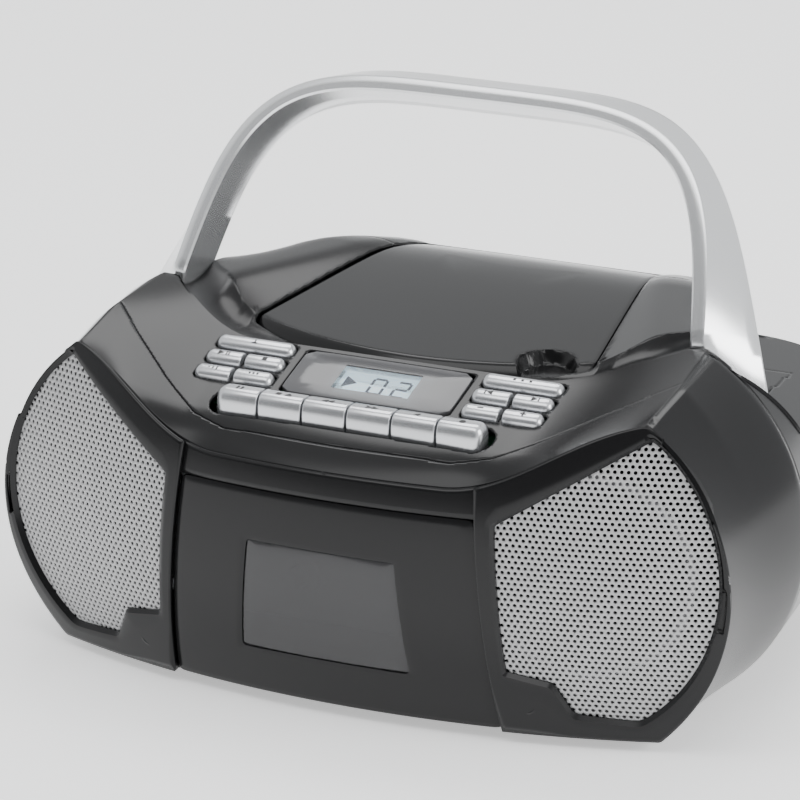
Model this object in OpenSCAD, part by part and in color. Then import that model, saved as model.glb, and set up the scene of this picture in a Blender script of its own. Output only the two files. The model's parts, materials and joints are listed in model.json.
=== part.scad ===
// Portable stereo with a cassette deck in front, a disc player under the lid
// and a carrying handle. Millimetres, +Z up, the front faces -Y.
// The origin is on the floor under the middle of the body.

/* [Cabinet] */
// Overall width of the body
body_w = 305; // [300:1:312]
// Height of the shoulders beside the handle
shoulder_z = 132.4; // [131:0.2:134]
// Thickness of the moulded shells
wall = 2.5; // [2:0.1:3]
// Radius of the front, seen from above
front_r = 362.5; // [350:0.5:380]
// Radius of the front, seen from the side
barrel_r = 165; // [160:1:170]
// Height of the rubber feet
foot_h = 3; // [2.5:0.1:3.5]

/* [Handle] */
// Angle of the raised handle, back from upright
handle_lean = 28; // [26:1:30]
// Reach of the handle from its pivot to the top of its bar
handle_reach = 108.5; // [106:0.5:110]
// Depth of the handle's band
handle_depth = 21; // [18:1:22]

/* [Cassette deck] */
// Height of the cassette door's top edge
door_top_z = 86; // [84:0.5:87]
// Distance between the two reel spindles
reel_gap = 42.5; // [42.5]
// Height of the reel spindles
reel_z = 45.5; // [44:0.5:47]
// Pitch of the piano keys
key_pitch = 17.9; // [17.5:0.1:18]
// Travel of a piano key, degrees
key_travel = 6; // [4:1:6]

/* [Disc player] */
// Distance of the disc's centre behind the middle of the body
disc_y = 24; // [22:1:26]
// Radius of the disc well
well_r = 62.5; // [61.5:0.5:63]

/* [Hidden] */
$fn = 96;
big = 400;               // longer than the body, for cutting solids
gap = 0.4;               // shadow gap between neighbouring mouldings
black = [0.06, 0.06, 0.065];
silver = [0.8, 0.81, 0.82];
grey = [0.5, 0.51, 0.52];
steel = [0.7, 0.7, 0.72];
green = [0.05, 0.3, 0.15];
rubber_black = [0.03, 0.03, 0.03];

half_w = body_w / 2;
front_y = -110;
rear_y = 110;
barrel_z = 60;           // height of the front's fullest line
side_r = 76;             // radius of the side's bulge, seen from the front
side_z = 65;
side_y = -20;            // the widest line of the body
front_taper = 6;         // degrees that the sides close in towards the front
rear_taper = 7;
seam_y = -18;            // seam between the front and rear cabinets
deck_end_y = 66;         // rear edge of the top cabinet
shelf_x = 104.5;         // inner wall of the shelf that the handle folds into
shelf_z = 99;
shelf_y = -17;
pivot_y = -6;            // handle pivot
pivot_z = 110;
pivot_r = 3;
run_fit = 0.08;          // radial clearance of a running fit

// Extrudes an outline drawn in Y and Z along X, or one drawn in X and Z along Y.
module along_x(w) { rotate([90, 0, 90]) linear_extrude(w, center = true) children(); }
module along_y(d) { rotate([90, 0, 0]) linear_extrude(d, center = true) children(); }
module both_sides() { children(); mirror([1, 0, 0]) children(); }
// A rod along X between two places
module rod_x(r, x0, x1, y, z) { translate([x0, y, z]) rotate([0, 90, 0]) cylinder(r = r, h = x1 - x0); }
// A rod along Y between two places
module rod_y(r, x, y0, y1, z) { translate([x, y1, z]) rotate([90, 0, 0]) cylinder(r = r, h = y1 - y0); }
// A box between two corners
module box(a, b) { translate(a) cube(b - a); }

// Front: a barrel turned about an upright axis behind the body
module barrel(t) {
    translate([0, front_y + front_r, 0]) rotate_extrude() intersection() {
        translate([0, -10]) square([front_r, 160]);
        union() {
            translate([0, barrel_z - barrel_r]) square([front_r - barrel_r, 2 * barrel_r]);
            translate([front_r - barrel_r, barrel_z]) circle(barrel_r - t, $fn = 180);
        }
    }
}

// One side of the body: a round-edged slab that closes in by an angle
module side_slab(t, taper) {
    translate([half_w, side_y, 0]) rotate([0, 0, taper]) along_y(big) {
        translate([-side_r, side_z]) circle(side_r - t);
        translate([-side_r - big, side_z - side_r + t]) square([big, 2 * (side_r - t)]);
    }
}

// Rear, seen from above: straight, with wide round corners
module rear_plan(t) {
    corner_r = 60;
    corner_x = 80;
    translate([0, 0, -10]) linear_extrude(200) {
        translate([-big / 2, -big]) square([big, big + rear_y - corner_r]);
        translate([-corner_x, 0]) square([2 * corner_x, rear_y - t]);
        for (s = [-1, 1]) translate([s * corner_x, rear_y - corner_r]) circle(corner_r - t);
    }
}

// Side view of the body at its shoulders
module body_side(t) {
    d = 1.4 * t;
    along_x(big) polygon([[-130, foot_h + t], [-130, 92 - d], [-106, 96 - d], [-101, 97.5 - d],
        [-93, 108.4 - d], [-88, 114.6 - d], [-82, 120.3 - d], [-79, 122.3 - d],
        [-51, 128.6 - d], [-20, shoulder_z - d], [20, shoulder_z - d], [60, 130.5 - d],
        [93 - t, 121 - d], [rear_y - t, 94 - t / 2], [rear_y - t, foot_h + t]]);
}

// Air above the sunken middle of the deck
module deck_channel(t) {
    d = 1.4 * t;
    intersection() {
        along_x(big) polygon([[-140, 84 - d], [-106, 96.3 - d], [-97, 102.6 - d], [-88, 106 - d],
            [-47, 121.5 - d], [-46, 118.2 - d], [54, 128.2 - d], [66, 132 - d], [66, 170],
            [-140, 170]]);
        along_y(big) polygon([[-62 - t, 40], [62 + t, 40], [62 + t, 100 - t], [84 + t, 114 - t],
            [113 + t, 132.5 - t], [125 + t, 170], [-125 - t, 170], [-113 - t, 132.5 - t],
            [-84 - t, 114 - t], [-62 - t, 100 - t]]);
    }
}

// Air over the shelf that one arm of the handle folds into
module handle_shelf(t) {
    translate([0, 0, shelf_z - t]) linear_extrude(80) polygon([[shelf_x - t, shelf_y - t],
        [123, shelf_y - t], [160, 20 - t], [160, 130], [78 - t, 130], [78 - t, 76],
        [85.5 - t, 65], [95 - t, 46], [101.2 - t, 20]]);
}

// The body as one solid, drawn in by t
module body(t) {
    difference() {
        intersection() {
            barrel(t);
            both_sides_of(t);
            rear_plan(t);
            body_side(t);
        }
        deck_channel(t);
        both_sides() handle_shelf(t);
    }
}
module both_sides_of(t) {
    intersection() {
        side_slab(t, -front_taper);
        side_slab(t, rear_taper);
        mirror([1, 0, 0]) side_slab(t, -front_taper);
        mirror([1, 0, 0]) side_slab(t, rear_taper);
    }
}
module shell() {
    difference() {
        body(0);
        body(wall);
    }
}

// Everything inside the seam of the top cabinet, which runs round the controls in a bow
deck_seam_z = 99.5;
deck_seam_x = 113;
module deck_zone() {
    bow = [[45, -95.5], [60, -91], [78, -78.5], [100, -61], [deck_seam_x, -49]];
    translate([0, 0, deck_seam_z]) linear_extrude(80) polygon(concat(
        [for (i = [4 : -1 : 0]) [-bow[i][0], bow[i][1]]], [[0, -96.8]], bow,
        [[deck_seam_x, deck_end_y], [-deck_seam_x, deck_end_y]]));
}
module front_zone() { box([-200, -150, 0], [200, seam_y, 170]); }

// Controls: a plane that slopes down to the keys
slope_y = -47;
slope_z = 121.5;
slope = atan(9.5 / 28);
module on_slope() { translate([0, slope_y, slope_z]) rotate([slope, 0, 0]) children(); }
row_y = [-5, -14.5, -24];
wide_x = 54.3;
wide_len = 31.6;
inner_x = 45.8;
outer_x = 62.6;
short_len = 15;
cap_r = 3.6;
cap_z = -0.6;
button_places = [[-wide_x, 0, wide_len], [-outer_x, 1, short_len], [-inner_x, 1, short_len],
    [-outer_x, 2, short_len], [-inner_x, 2, short_len], [wide_x, 0, wide_len],
    [inner_x, 1, short_len], [outer_x, 1, short_len], [inner_x, 2, short_len],
    [outer_x, 2, short_len]];
module button_cap(i, grow) {
    p = button_places[i];
    on_slope() translate([p[0] - p[2] / 2 - grow, row_y[p[1]], cap_z]) {
        rotate([0, 90, 0]) cylinder(r = cap_r + grow, h = p[2] + 2 * grow);
    }
}
module button(i) {
    p = button_places[i];
    color(silver) union() {
        button_cap(i, 0);
        on_slope() translate([p[0], row_y[p[1]], -3.7]) cube([p[2] - 4, 4, 5.4], center = true);
    }
}
lens_w = 68;
lens_y = [-28, -2];

// Piano keys turn on one shaft behind them
key_count = 6;
key_w = 17.2;
key_front_y = -88;
key_back_y = -77;
key_top_z = 115;
key_shaft_y = -60;
key_shaft_z = 96.5;
key_shaft_r = 1.5;
module key(i) {
    x = (i - (key_count - 1) / 2) * key_pitch;
    cap = (key_back_y - key_front_y) / 2;
    color(silver) difference() {
        union() {
            rod_x(cap, x - key_w / 2, x + key_w / 2, key_front_y + cap, key_top_z - cap);
            box([x - key_w / 2, key_front_y, 100], [x + key_w / 2, key_back_y, key_top_z - cap]);
            box([x - 3, -84, 95], [x + 3, key_shaft_y, 100]);
            rod_x(4, x - 3, x + 3, key_shaft_y, key_shaft_z);
        }
        rod_x(key_shaft_r + run_fit, x - 4, x + 4, key_shaft_y, key_shaft_z);
    }
}

// Cassette door: a piece of the barrel between two slanted edges
door_bottom_z = 4.5;
door_hinge_y = -91;
door_hinge_z = 9;
door_pin_r = 2;
module door_outline(g) {
    polygon([[-58.5 - g, door_top_z + g], [58.5 + g, door_top_z + g], [66.2 + g, door_bottom_z - 5 * g],
        [-66.2 - g, door_bottom_z - 5 * g]]);
}
module window_outline(g) {
    polygon([[-29.5 - g, 67 + g], [29.5 + g, 67 + g], [33.8 + g, 24 - g], [-33.8 - g, 24 - g]]);
}
door_air_y = -87.5;      // the floor of the cabinet starts behind the door's swing
module door_air() {
    translate([0, door_air_y - 50, 0]) along_y(100) door_outline(gap);
}

// Speakers sit behind the grilles, square to the front
speaker_x = 98;
speaker_z = 64;
speaker_turn = asin(speaker_x / front_r);
speaker_r = 38.5;
baffle_depth = 13;
module at_speaker() {
    translate([0, front_y + front_r, speaker_z]) rotate([0, 0, speaker_turn])
        translate([0, -front_r, 0]) rotate([-90, 0, 0]) children();
}
grille_t = 1.5;
module grille_outline(g) {
    intersection() {
        translate([78.5, 65]) circle(67.5 - g);
        polygon([[62.4 + g, 86.5 - g / 2], [67 + g, 27 + g], [84.5 + g / 2, 23.6 + g], [91 + g / 2, 11 + g],
            [121, 8.5 + g], [160, 8.5 + g], [160, 149], [115 - g / 2, 120 - g]]);
    }
}
module grille_slab(g, t0, t1) {
    intersection() {
        difference() {
            barrel(t0);
            barrel(t1);
        }
        translate([0, -60, 0]) along_y(120) grille_outline(g);
        both_sides_of(t0 + 0.6);
    }
}
module right_grille_solid() { grille_slab(1.8, 0.2, grille_t); }

// Jacks in the lower front, their mouths square to Y
jack_x = 76.5;
jack_y = -97;
jack_z = 17.5;
plug_r = 1.8;
plug_len = 15;
module jack_solid() {
    difference() {
        union() {
            rod_y(3.6, jack_x, jack_y, jack_y + 5, jack_z);
            box([jack_x - 5, jack_y + 5, jack_z - 4.5], [jack_x + 5, jack_y + 18, jack_z + 4.5]);
        }
        rod_y(plug_r, jack_x, jack_y - 1, jack_y + plug_len, jack_z);
    }
}

module front_cabinet() {
    color(black) difference() {
        union() {
            difference() {
                intersection() {
                    shell();
                    front_zone();
                }
                deck_zone();
                both_sides() grille_slab(1.4, -1, grille_t + 0.1);
            }
            // Baffle behind each grille, with a seat for the speaker
            both_sides() difference() {
                intersection() {
                    body(grille_t + 0.1);
                    union() {
                        grille_slab(-1.5, grille_t + 0.1, grille_t + 2.6);
                        at_speaker() cylinder(r = speaker_r + 2.5, h = baffle_depth);
                    }
                    front_zone();
                }
                deck_zone();
            }
            for (p = board_posts) if (p[1] < seam_y) board_post(p);
            // Lugs for the door's pins
            both_sides() intersection() {
                body(1);
                box([67.2, -95, 4], [71, -86, 14]);
            }
        }
        both_sides() at_speaker() translate([0, 0, -20]) cylinder(r = speaker_r - 2.5, h = 60);
        door_air();
        rod_x(door_pin_r + run_fit, -72, 72, door_hinge_y, door_hinge_z);
        both_sides() jack_hole();
        board_holes();
    }
}
module jack_hole() {
    rod_y(3.7, jack_x, jack_y - 12, jack_y + 5.05, jack_z);
    box([jack_x - 5.1, jack_y + 4.9, jack_z - 4.6], [jack_x + 5.1, jack_y + 20, jack_z + 4.6]);
}

// Battery bay: two rows of three cells behind a door in the rear wall
bay_x = 77;
bay_y = 54;
bay_z = [8, 62];
battery_half_w = 75;
battery_z = [12, 58];
inlet_x = -50;
inlet_z = 70;
board_z = 20;
board_posts = [[-40, -35], [40, -35], [-40, 30], [40, 30]];
post_r = 4;
module rear_cabinet() {
    color(black) difference() {
        union() {
            difference() {
                intersection() {
                    shell();
                    box([-200, seam_y, 0], [200, 150, 170]);
                }
                deck_zone();
            }
            // Walls of the battery bay
            difference() {
                box([-bay_x - 2, bay_y - 2, 5], [bay_x + 2, rear_y - 1, bay_z[1] + 2]);
                box([-bay_x, bay_y, bay_z[0]], [bay_x, rear_y, bay_z[1]]);
            }
            for (p = board_posts) if (p[1] > seam_y) board_post(p);
            // Seat for the antenna's swivel
            intersection() {
                body(0.2);
                box([antenna_x - 8, antenna_y - 7, 97], [antenna_x + 8, 112, 125]);
            }
            // Ears for the lid's pins
            both_sides() box([52.4, 83, 112], [56, 92, 119]);
        }
        box([-battery_half_w - gap, 104, battery_z[0] - 0.2],
            [battery_half_w + gap, 120, battery_z[1] + gap]);
        box([inlet_x - 9.1, 100, inlet_z - 5.1], [inlet_x + 9.1, 120, inlet_z + 5.1]);
        lid_air();
        rod_x(lid_pin_r + run_fit, -55.5, 55.5, lid_hinge_y, lid_hinge_z);
        translate([antenna_x, antenna_y, 90]) cylinder(r = stem_r + run_fit, h = 20);
        box([antenna_x - 6, antenna_y - 5, antenna_seat_z - 0.3], [antenna_x + 6, 120, 130]);
        board_holes();
    }
}
module board_post(p) {
    translate([p[0], p[1], foot_h + 1]) cylinder(r = post_r, h = board_z - foot_h - 1);
}
module board_holes() {
    for (p = board_posts) translate([p[0], p[1], 9]) cylinder(r = 1.2, h = 40);
}

// Disc lid, seen from above, and the air that it sits in
lid_hinge_y = 88;
lid_hinge_z = 117.6;
lid_pin_r = 1.5;
lid_t = 3;
lid_front_r = 146;
module lid_outline(g) {
    intersection() {
        translate([0, -42 + lid_front_r]) circle(lid_front_r + g);
        polygon([[-76.5 - g, -50 - g], [76.5 + g, -50 - g], [57.5 + g, 52], [51 + g, 90 + g],
            [-51 - g, 90 + g], [-57.5 - g, 52]]);
    }
}
module lid_air() {
    translate([0, 0, 112]) linear_extrude(60) lid_outline(0.9);
    box([-52.3, 78, 112], [52.3, 93, 140]);
}

module top_cabinet() {
    color(black) difference() {
        union() {
            intersection() {
                shell();
                deck_zone();
            }
            // Bosses for the handle's pivots
            both_sides() rod_x(7, 96, shelf_x - 1, pivot_y, pivot_z);
        }
        both_sides() rod_x(pivot_r + run_fit, 90, 110, pivot_y, pivot_z);
        lid_air();
        box([-key_count / 2 * key_pitch - 0.3, -89.2, 90],
            [key_count / 2 * key_pitch + 0.3, -76.2, 130]);
        for (i = [0 : 9]) button_cap(i, 0.4);
        for (i = [0 : 9]) button_stem_air(i);
        on_slope() box([-lens_w / 2 - 0.1, lens_y[0] - 0.1, -9], [lens_w / 2 + 0.1, lens_y[1] + 0.1, 5]);
    }
}
module button_stem_air(i) {
    p = button_places[i];
    on_slope() box([p[0] - p[2] / 2 - 0.4, row_y[p[1]] - cap_r - 0.4, -8],
        [p[0] + p[2] / 2 + 0.4, row_y[p[1]] + cap_r + 0.4, cap_z]);
}

module left_grille() { color(grey) mirror([1, 0, 0]) right_grille_solid(); }
module right_grille() { color(grey) right_grille_solid(); }

module cassette_door() {
    color(black) difference() {
        union() {
            intersection() {
                difference() {
                    barrel(0);
                    barrel(3);
                }
                translate([0, -60, 0]) along_y(140) door_outline(0);
                box([-80, -115, foot_h + 0.5], [80, -80, 100]);
            }
            // Pin and its lug at each lower corner
            both_sides() difference() {
                intersection() {
                    box([61.5, -98, 4.5], [64.7, door_hinge_y + 3.2, 12.5]);
                    barrel(1);
                }
                difference() {
                    box([61, door_hinge_y, 0], [66, door_hinge_y + 5, 20]);
                    rod_x(3.2, 60, 67, door_hinge_y, door_hinge_z);
                }
            }
            both_sides() rod_x(door_pin_r, 62, 70, door_hinge_y, door_hinge_z);
        }
        translate([0, -60, 0]) along_y(140) window_outline(0.1);
    }
}
module door_window() {
    color([0.3, 0.3, 0.32, 0.6]) intersection() {
        difference() {
            barrel(0.3);
            barrel(2.3);
        }
        translate([0, -60, 0]) along_y(140) window_outline(0);
        box([-80, -115, 0], [80, -80, 100]);
    }
}
// Carrier behind the door that takes the cassette
module cassette_holder() {
    color(black) {
        union() {
            both_sides() difference() {
                intersection() {
                    box([51, -112, 14], [53, -86, 75]);
                    barrel(3);
                }
                box([40, -92, 60], [60, -80, 90]);
            }
            intersection() {
                box([-53, -112, 13], [53, -86, 15]);
                barrel(3);
            }
            box([-53, -87.5, 13], [53, -86, 30]);
        }
    }
}

module cd_lid() {
    color(black) difference() {
        union() {
            intersection() {
                along_x(200) polygon([[-50, 118.6], [54, 129.3], [92, 121.8], [92, 121.8 - lid_t],
                    [54, 129.3 - lid_t], [-50, 118.6 - lid_t]]);
                translate([0, 0, 100]) linear_extrude(50) lid_outline(0);
            }
            both_sides() box([46, 85.6, lid_hinge_z - 2.2], [50, 90, 120.5]);
            both_sides() rod_x(lid_pin_r, 48, 55, lid_hinge_y, lid_hinge_z);
        }
        // Finger recess at the front right
        translate([46, -37, 110]) cylinder(r = 9, h = 20);
    }
}
tray_floor = 104;
module cd_tray() {
    color(black) difference() {
        union() {
            translate([0, 0, 110]) linear_extrude(1.9) intersection() {
                lid_outline(0.5);
                translate([-100, -48]) square([200, 125]);
            }
            translate([0, disc_y, tray_floor]) cylinder(r = well_r + 2, h = 7);
        }
        translate([0, disc_y, tray_floor + 2]) cylinder(r = well_r, h = 20);
        translate([0, disc_y, tray_floor - 1]) cylinder(r = 10, h = 10);
        box([16, disc_y - 10, tray_floor - 1], [62, disc_y + 10, tray_floor + 10]);
    }
}
module cd_hub() {
    color(black) translate([0, disc_y, 0]) {
        translate([0, 0, 106.6]) cylinder(r = 15, h = 1.6);
        translate([0, 0, 108]) cylinder(r = 7.4, h = 3);
        translate([0, 0, 111]) cylinder(r1 = 7.4, r2 = 6, h = 1);
        translate([0, 0, 102]) cylinder(r = 4, h = 5);
        for (a = [0 : 120 : 240]) rotate([0, 0, a]) translate([6.9, 0, 110]) sphere(0.8, $fn = 32);
    }
}
module cd_motor() {
    color(steel) translate([0, disc_y, 90]) cylinder(r = 12, h = 11.7);
}
sled_x = 30;
rail_z = 97;
rail_gap = 16;
module laser_sled() {
    color(grey) difference() {
        union() {
            box([sled_x - 11, disc_y - 20, 93.5], [sled_x + 11, disc_y + 20, 100.5]);
            translate([sled_x, disc_y, 100]) cylinder(r = 3.5, h = 6);
        }
        for (s = [-1, 1]) rod_x(1.5 + run_fit, sled_x - 20, sled_x + 20, disc_y + s * rail_gap, rail_z);
    }
}
module sled_rails() {
    color(steel) for (s = [-1, 1]) rod_x(1.5, 15, 78, disc_y + s * rail_gap, rail_z);
}

// Handle, drawn upright in X and Z about its pivot, then leaned back.
// Its band steps outwards towards the rear.
handle_front = 20;       // how far the band's front lies in front of the pivot
function arch(half, tilt, top, p) = [for (i = [0 : 20]) let (u = top * sin(4.5 * i))
    [(half - tilt * u) * pow(max(0, 1 - pow(u / top, p)), 1 / p), u]];
module arch_area(half, tilt, top, p, foot) {
    pts = arch(half, tilt, top, p);
    polygon(concat([[-half, foot]], [for (q = pts) [-q[0], q[1]]],
        [for (i = [19 : -1 : 0]) pts[i]], [[half, foot]]));
}
module handle() {
    step = handle_depth / 3;
    color(silver) union() {
        translate([0, pivot_y, pivot_z]) difference() {
            rotate([-handle_lean, 0, 0]) difference() {
                for (i = [0 : 2]) translate([0, step * (i + 1) - handle_front, 0]) rotate([90, 0, 0])
                    linear_extrude(step)
                        arch_area(115 + 6 * i, 0.16 + 0.08 * i, handle_reach - 7 + 3.5 * i, 4.4, 0);
                translate([0, 10, 0]) rotate([90, 0, 0])
                    linear_extrude(50) arch_area(106.5, 0.16, handle_reach - 13.3, 4.6, -20);
            }
            box([-big, shelf_y - pivot_y - 80, -50], [big, shelf_y - pivot_y + 0.8, 25]);
            box([-big, -50, -50], [big, 50, 0]);
        }
        both_sides() rod_x(10, shelf_x + 0.8, 119, pivot_y, pivot_z);
        both_sides() rod_x(pivot_r, 97, 112, pivot_y, pivot_z);
    }
}

module pause_key() { key(0); }
module stop_eject_key() { key(1); }
module rewind_key() { key(2); }
module fast_forward_key() { key(3); }
module play_key() { key(4); }
module record_key() { key(5); }
module key_shaft() { color(steel) rod_x(key_shaft_r, -57, 57, key_shaft_y, key_shaft_z); }

module power_button() { button(0); }
module play_pause_button() { button(1); }
module stop_button() { button(2); }
module program_button() { button(3); }
module mode_button() { button(4); }
module function_button() { button(5); }
module skip_back_button() { button(6); }
module skip_forward_button() { button(7); }
module volume_down_button() { button(8); }
module volume_up_button() { button(9); }

module display_lens() {
    color([0.25, 0.25, 0.27]) on_slope() box([-lens_w / 2, lens_y[0], -1.6], [lens_w / 2, lens_y[1], 0.4]);
}
module lcd_module() {
    color([0.5, 0.6, 0.65]) on_slope() box([-20, -24, -7.6], [20, -6, -1.6]);
}
module control_board() {
    color(green) on_slope() box([-73, -30, -9.2], [73, 0, -7.6]);
}

cone_r = 35.6;
module speaker_frame() {
    at_speaker() translate([0, 0, baffle_depth]) difference() {
        union() {
            cylinder(r = speaker_r, h = 2);
            cylinder(r1 = speaker_r - 1, r2 = 21, h = 16);
            translate([0, 0, 16]) cylinder(r = 21, h = 11);
        }
        translate([0, 0, -1]) cylinder(r = cone_r + 0.4, h = 1.5);
        translate([0, 0, 0.4]) cylinder(r1 = cone_r + 0.4, r2 = 18, h = 14);
    }
}
module speaker_cone() {
    at_speaker() translate([0, 0, baffle_depth]) difference() {
        cylinder(r1 = cone_r, r2 = 9, h = 12);
        translate([0, 0, -0.01]) cylinder(r1 = cone_r - 1.2, r2 = 8, h = 11);
    }
}
module left_speaker_frame() { color(steel) mirror([1, 0, 0]) speaker_frame(); }
module right_speaker_frame() { color(steel) speaker_frame(); }
module left_speaker_cone() { color(black) mirror([1, 0, 0]) speaker_cone(); }
module right_speaker_cone() { color(black) speaker_cone(); }

// Tape mechanism behind the door
chassis_y = [-79.5, -77.5];
capstan_x = 24;
capstan_z = 74;
motor_x = -32;
motor_z = 34;
flywheel_r = 18;
pulley_r = 4.5;
roller_z = 87;
module deck_chassis() {
    color(steel) difference() {
        union() {
            box([-58, chassis_y[0], 10], [58, chassis_y[1], 80]);
            // Bracket arms that hold the key shaft
            both_sides() difference() {
                box([55, chassis_y[1], 70], [56.6, -55, 101]);
                rod_x(key_shaft_r, 50, 60, key_shaft_y, key_shaft_z);
            }
            both_sides() box([55, chassis_y[0], 70], [56.6, chassis_y[1], 80]);
        }
        for (s = [-1, 1]) rod_y(1.5 + run_fit, s * reel_gap / 2, -90, -70, reel_z);
        rod_y(1 + run_fit, capstan_x, -90, -70, capstan_z);
    }
}
module spindle(x) {
    difference() {
        union() {
            rod_y(1.5, x, -93, -76, reel_z);
            rod_y(7, x, -82.5, -80, reel_z);
            rod_y(3.6, x, -92.5, -80, reel_z);
            for (a = [0 : 120 : 240]) translate([x, -90, reel_z]) rotate([0, a, 0])
                translate([-0.6, 0, 0]) cube([1.2, 7, 4.8]);
        }
    }
}
module supply_spindle() { color(grey) spindle(-reel_gap / 2); }
module take_up_spindle() { color(grey) spindle(reel_gap / 2); }
module capstan() {
    color(steel) union() {
        rod_y(1, capstan_x, -92, -68, capstan_z);
        rod_y(flywheel_r, capstan_x, -76.5, -69, capstan_z);
    }
}
module head_plate() {
    color(steel) union() {
        box([-38, -82, 82], [38, -80.5, 91]);
        box([-6.5, -93, 82], [6.5, -82, 90]);
        difference() {
            rod_y(1, capstan_x, -93, -81, roller_z);
            box([capstan_x - 2, -94, roller_z + 2], [capstan_x + 2, -80, roller_z + 4]);
        }
    }
}
module pinch_roller() {
    color(rubber_black) difference() {
        rod_y(6, capstan_x, -91, -83.5, roller_z);
        rod_y(1 + run_fit, capstan_x, -95, -80, roller_z);
    }
}
module deck_motor() {
    color(steel) union() {
        rod_y(16, motor_x, -69.5, -46, motor_z);
        rod_y(1, motor_x, -76.8, -69.4, motor_z);
    }
}
module motor_pulley() {
    color([0.75, 0.6, 0.3]) difference() {
        rod_y(pulley_r, motor_x, -76.4, -70, motor_z);
        rod_y(1 + run_fit, motor_x, -78, -69, motor_z);
    }
}
module belt_loop(g) {
    hull() {
        translate([motor_x, motor_z]) circle(pulley_r + g, $fn = 64);
        translate([capstan_x, capstan_z]) circle(flywheel_r + g, $fn = 96);
    }
}
module drive_belt() {
    color(rubber_black) translate([0, -73, 0]) along_y(2) difference() {
        belt_loop(1.2);
        belt_loop(0.2);
    }
}

module transformer() {
    color(steel) union() {
        box([-110, 8, 6], [-82, 44, 36]);
        box([-105, 3, 10], [-87, 49, 32]);
    }
}
module main_board() {
    color(green) difference() {
        box([-48, -42, board_z], [48, 38, board_z + 1.6]);
        board_holes();
    }
}
module screws() {
    color(steel) for (p = board_posts) translate([p[0], p[1], 0]) {
        translate([0, 0, 12]) cylinder(r = 1.2, h = board_z - 10);
        translate([0, 0, board_z + 1.6]) cylinder(r = 2.6, h = 1.6);
    }
}
module battery_door() {
    color(black) union() {
        box([-battery_half_w, rear_y - wall, battery_z[0] + wall / 2],
            [battery_half_w, rear_y, battery_z[1]]);
        // Round lower edge that the door tips on
        rod_x(wall / 2, -battery_half_w, battery_half_w, rear_y - wall / 2, battery_z[0] + wall / 2);
        for (i = [-1 : 1]) box([i * 50 - 12, rear_y - wall - 1.5, 30], [i * 50 + 12, rear_y - wall, 40]);
    }
}
module battery_contacts() {
    color(steel) for (z = [22, 48]) for (s = [-1, 1]) {
        box([s > 0 ? bay_x - 0.6 : -bay_x, 66, z - 9], [s > 0 ? bay_x : -bay_x + 0.6, 92, z + 9]);
        rod_x(4, s > 0 ? bay_x - 5 : -bay_x + 0.6, s > 0 ? bay_x - 0.6 : -bay_x + 5, 79, z);
    }
}
module headphone_jack() { color(black) mirror([1, 0, 0]) jack_solid(); }
module aux_jack() { color(black) jack_solid(); }
module ac_inlet() {
    color(black) difference() {
        box([inlet_x - 9, 90, inlet_z - 5], [inlet_x + 9, 109.5, inlet_z + 5]);
        for (s = [-1, 1]) rod_y(3.6, inlet_x + s * 4, 97, 112, inlet_z);
        box([inlet_x - 4, 97, inlet_z - 3.6], [inlet_x + 4, 112, inlet_z + 3.6]);
    }
}

// Telescopic antenna, lying along the rear of the top
antenna_x = 68;
antenna_y = 102;
antenna_z = 113;
antenna_r = 3;
antenna_seat_z = 108;
stem_r = 2.4;
antenna_len = 150;
module antenna_base() {
    color(steel) difference() {
        translate([antenna_x, antenna_y, 0]) union() {
            translate([0, 0, 98]) cylinder(r = stem_r, h = 10.5);
            difference() {
                translate([-3.2, -3.4, antenna_seat_z]) cube([6.4, 6.8, 8]);
                translate([-5, -1.7, antenna_seat_z + 1.6]) cube([10, 3.4, 9]);
            }
        }
        rod_y(1 + run_fit, antenna_x, antenna_y - 8, antenna_y + 8, antenna_z);
    }
}
module antenna_tube() {
    color(silver) difference() {
        union() {
            rod_y(1, antenna_x, antenna_y - 3.4, antenna_y + 3.4, antenna_z);
            box([antenna_x - 8, antenna_y - 1.4, antenna_z - 1.6],
                [antenna_x + 2, antenna_y + 1.4, antenna_z + 1.6]);
            rod_x(antenna_r, antenna_x - antenna_len, antenna_x - 6, antenna_y, antenna_z);
        }
        rod_x(2, antenna_x - antenna_len - 1, antenna_x - 10, antenna_y, antenna_z);
    }
}
module antenna_rod() {
    color(silver) union() {
        rod_x(1.9, antenna_x - antenna_len - 2, antenna_x - 11, antenna_y, antenna_z);
        rod_x(3, antenna_x - antenna_len - 8, antenna_x - antenna_len - 1, antenna_y, antenna_z);
    }
}
module feet() {
    color(rubber_black) for (sx = [-1, 1]) for (y = [-68, 75])
        translate([sx * 95, y, 0]) cylinder(r = 8, h = foot_h);
}

front_cabinet();
rear_cabinet();
top_cabinet();
left_grille();
right_grille();
cassette_door();
door_window();
cassette_holder();
cd_lid();
cd_tray();
cd_hub();
cd_motor();
laser_sled();
sled_rails();
handle();
pause_key();
stop_eject_key();
rewind_key();
fast_forward_key();
play_key();
record_key();
key_shaft();
power_button();
play_pause_button();
stop_button();
program_button();
mode_button();
function_button();
skip_back_button();
skip_forward_button();
volume_down_button();
volume_up_button();
display_lens();
lcd_module();
control_board();
left_speaker_frame();
left_speaker_cone();
right_speaker_frame();
right_speaker_cone();
deck_chassis();
supply_spindle();
take_up_spindle();
capstan();
head_plate();
pinch_roller();
deck_motor();
motor_pulley();
drive_belt();
transformer();
main_board();
battery_door();
battery_contacts();
headphone_jack();
aux_jack();
ac_inlet();
antenna_base();
antenna_tube();
antenna_rod();
feet();
screws();
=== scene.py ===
import json
import math
import bpy
import bmesh
import numpy as np
from mathutils import Matrix, Vector


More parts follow.
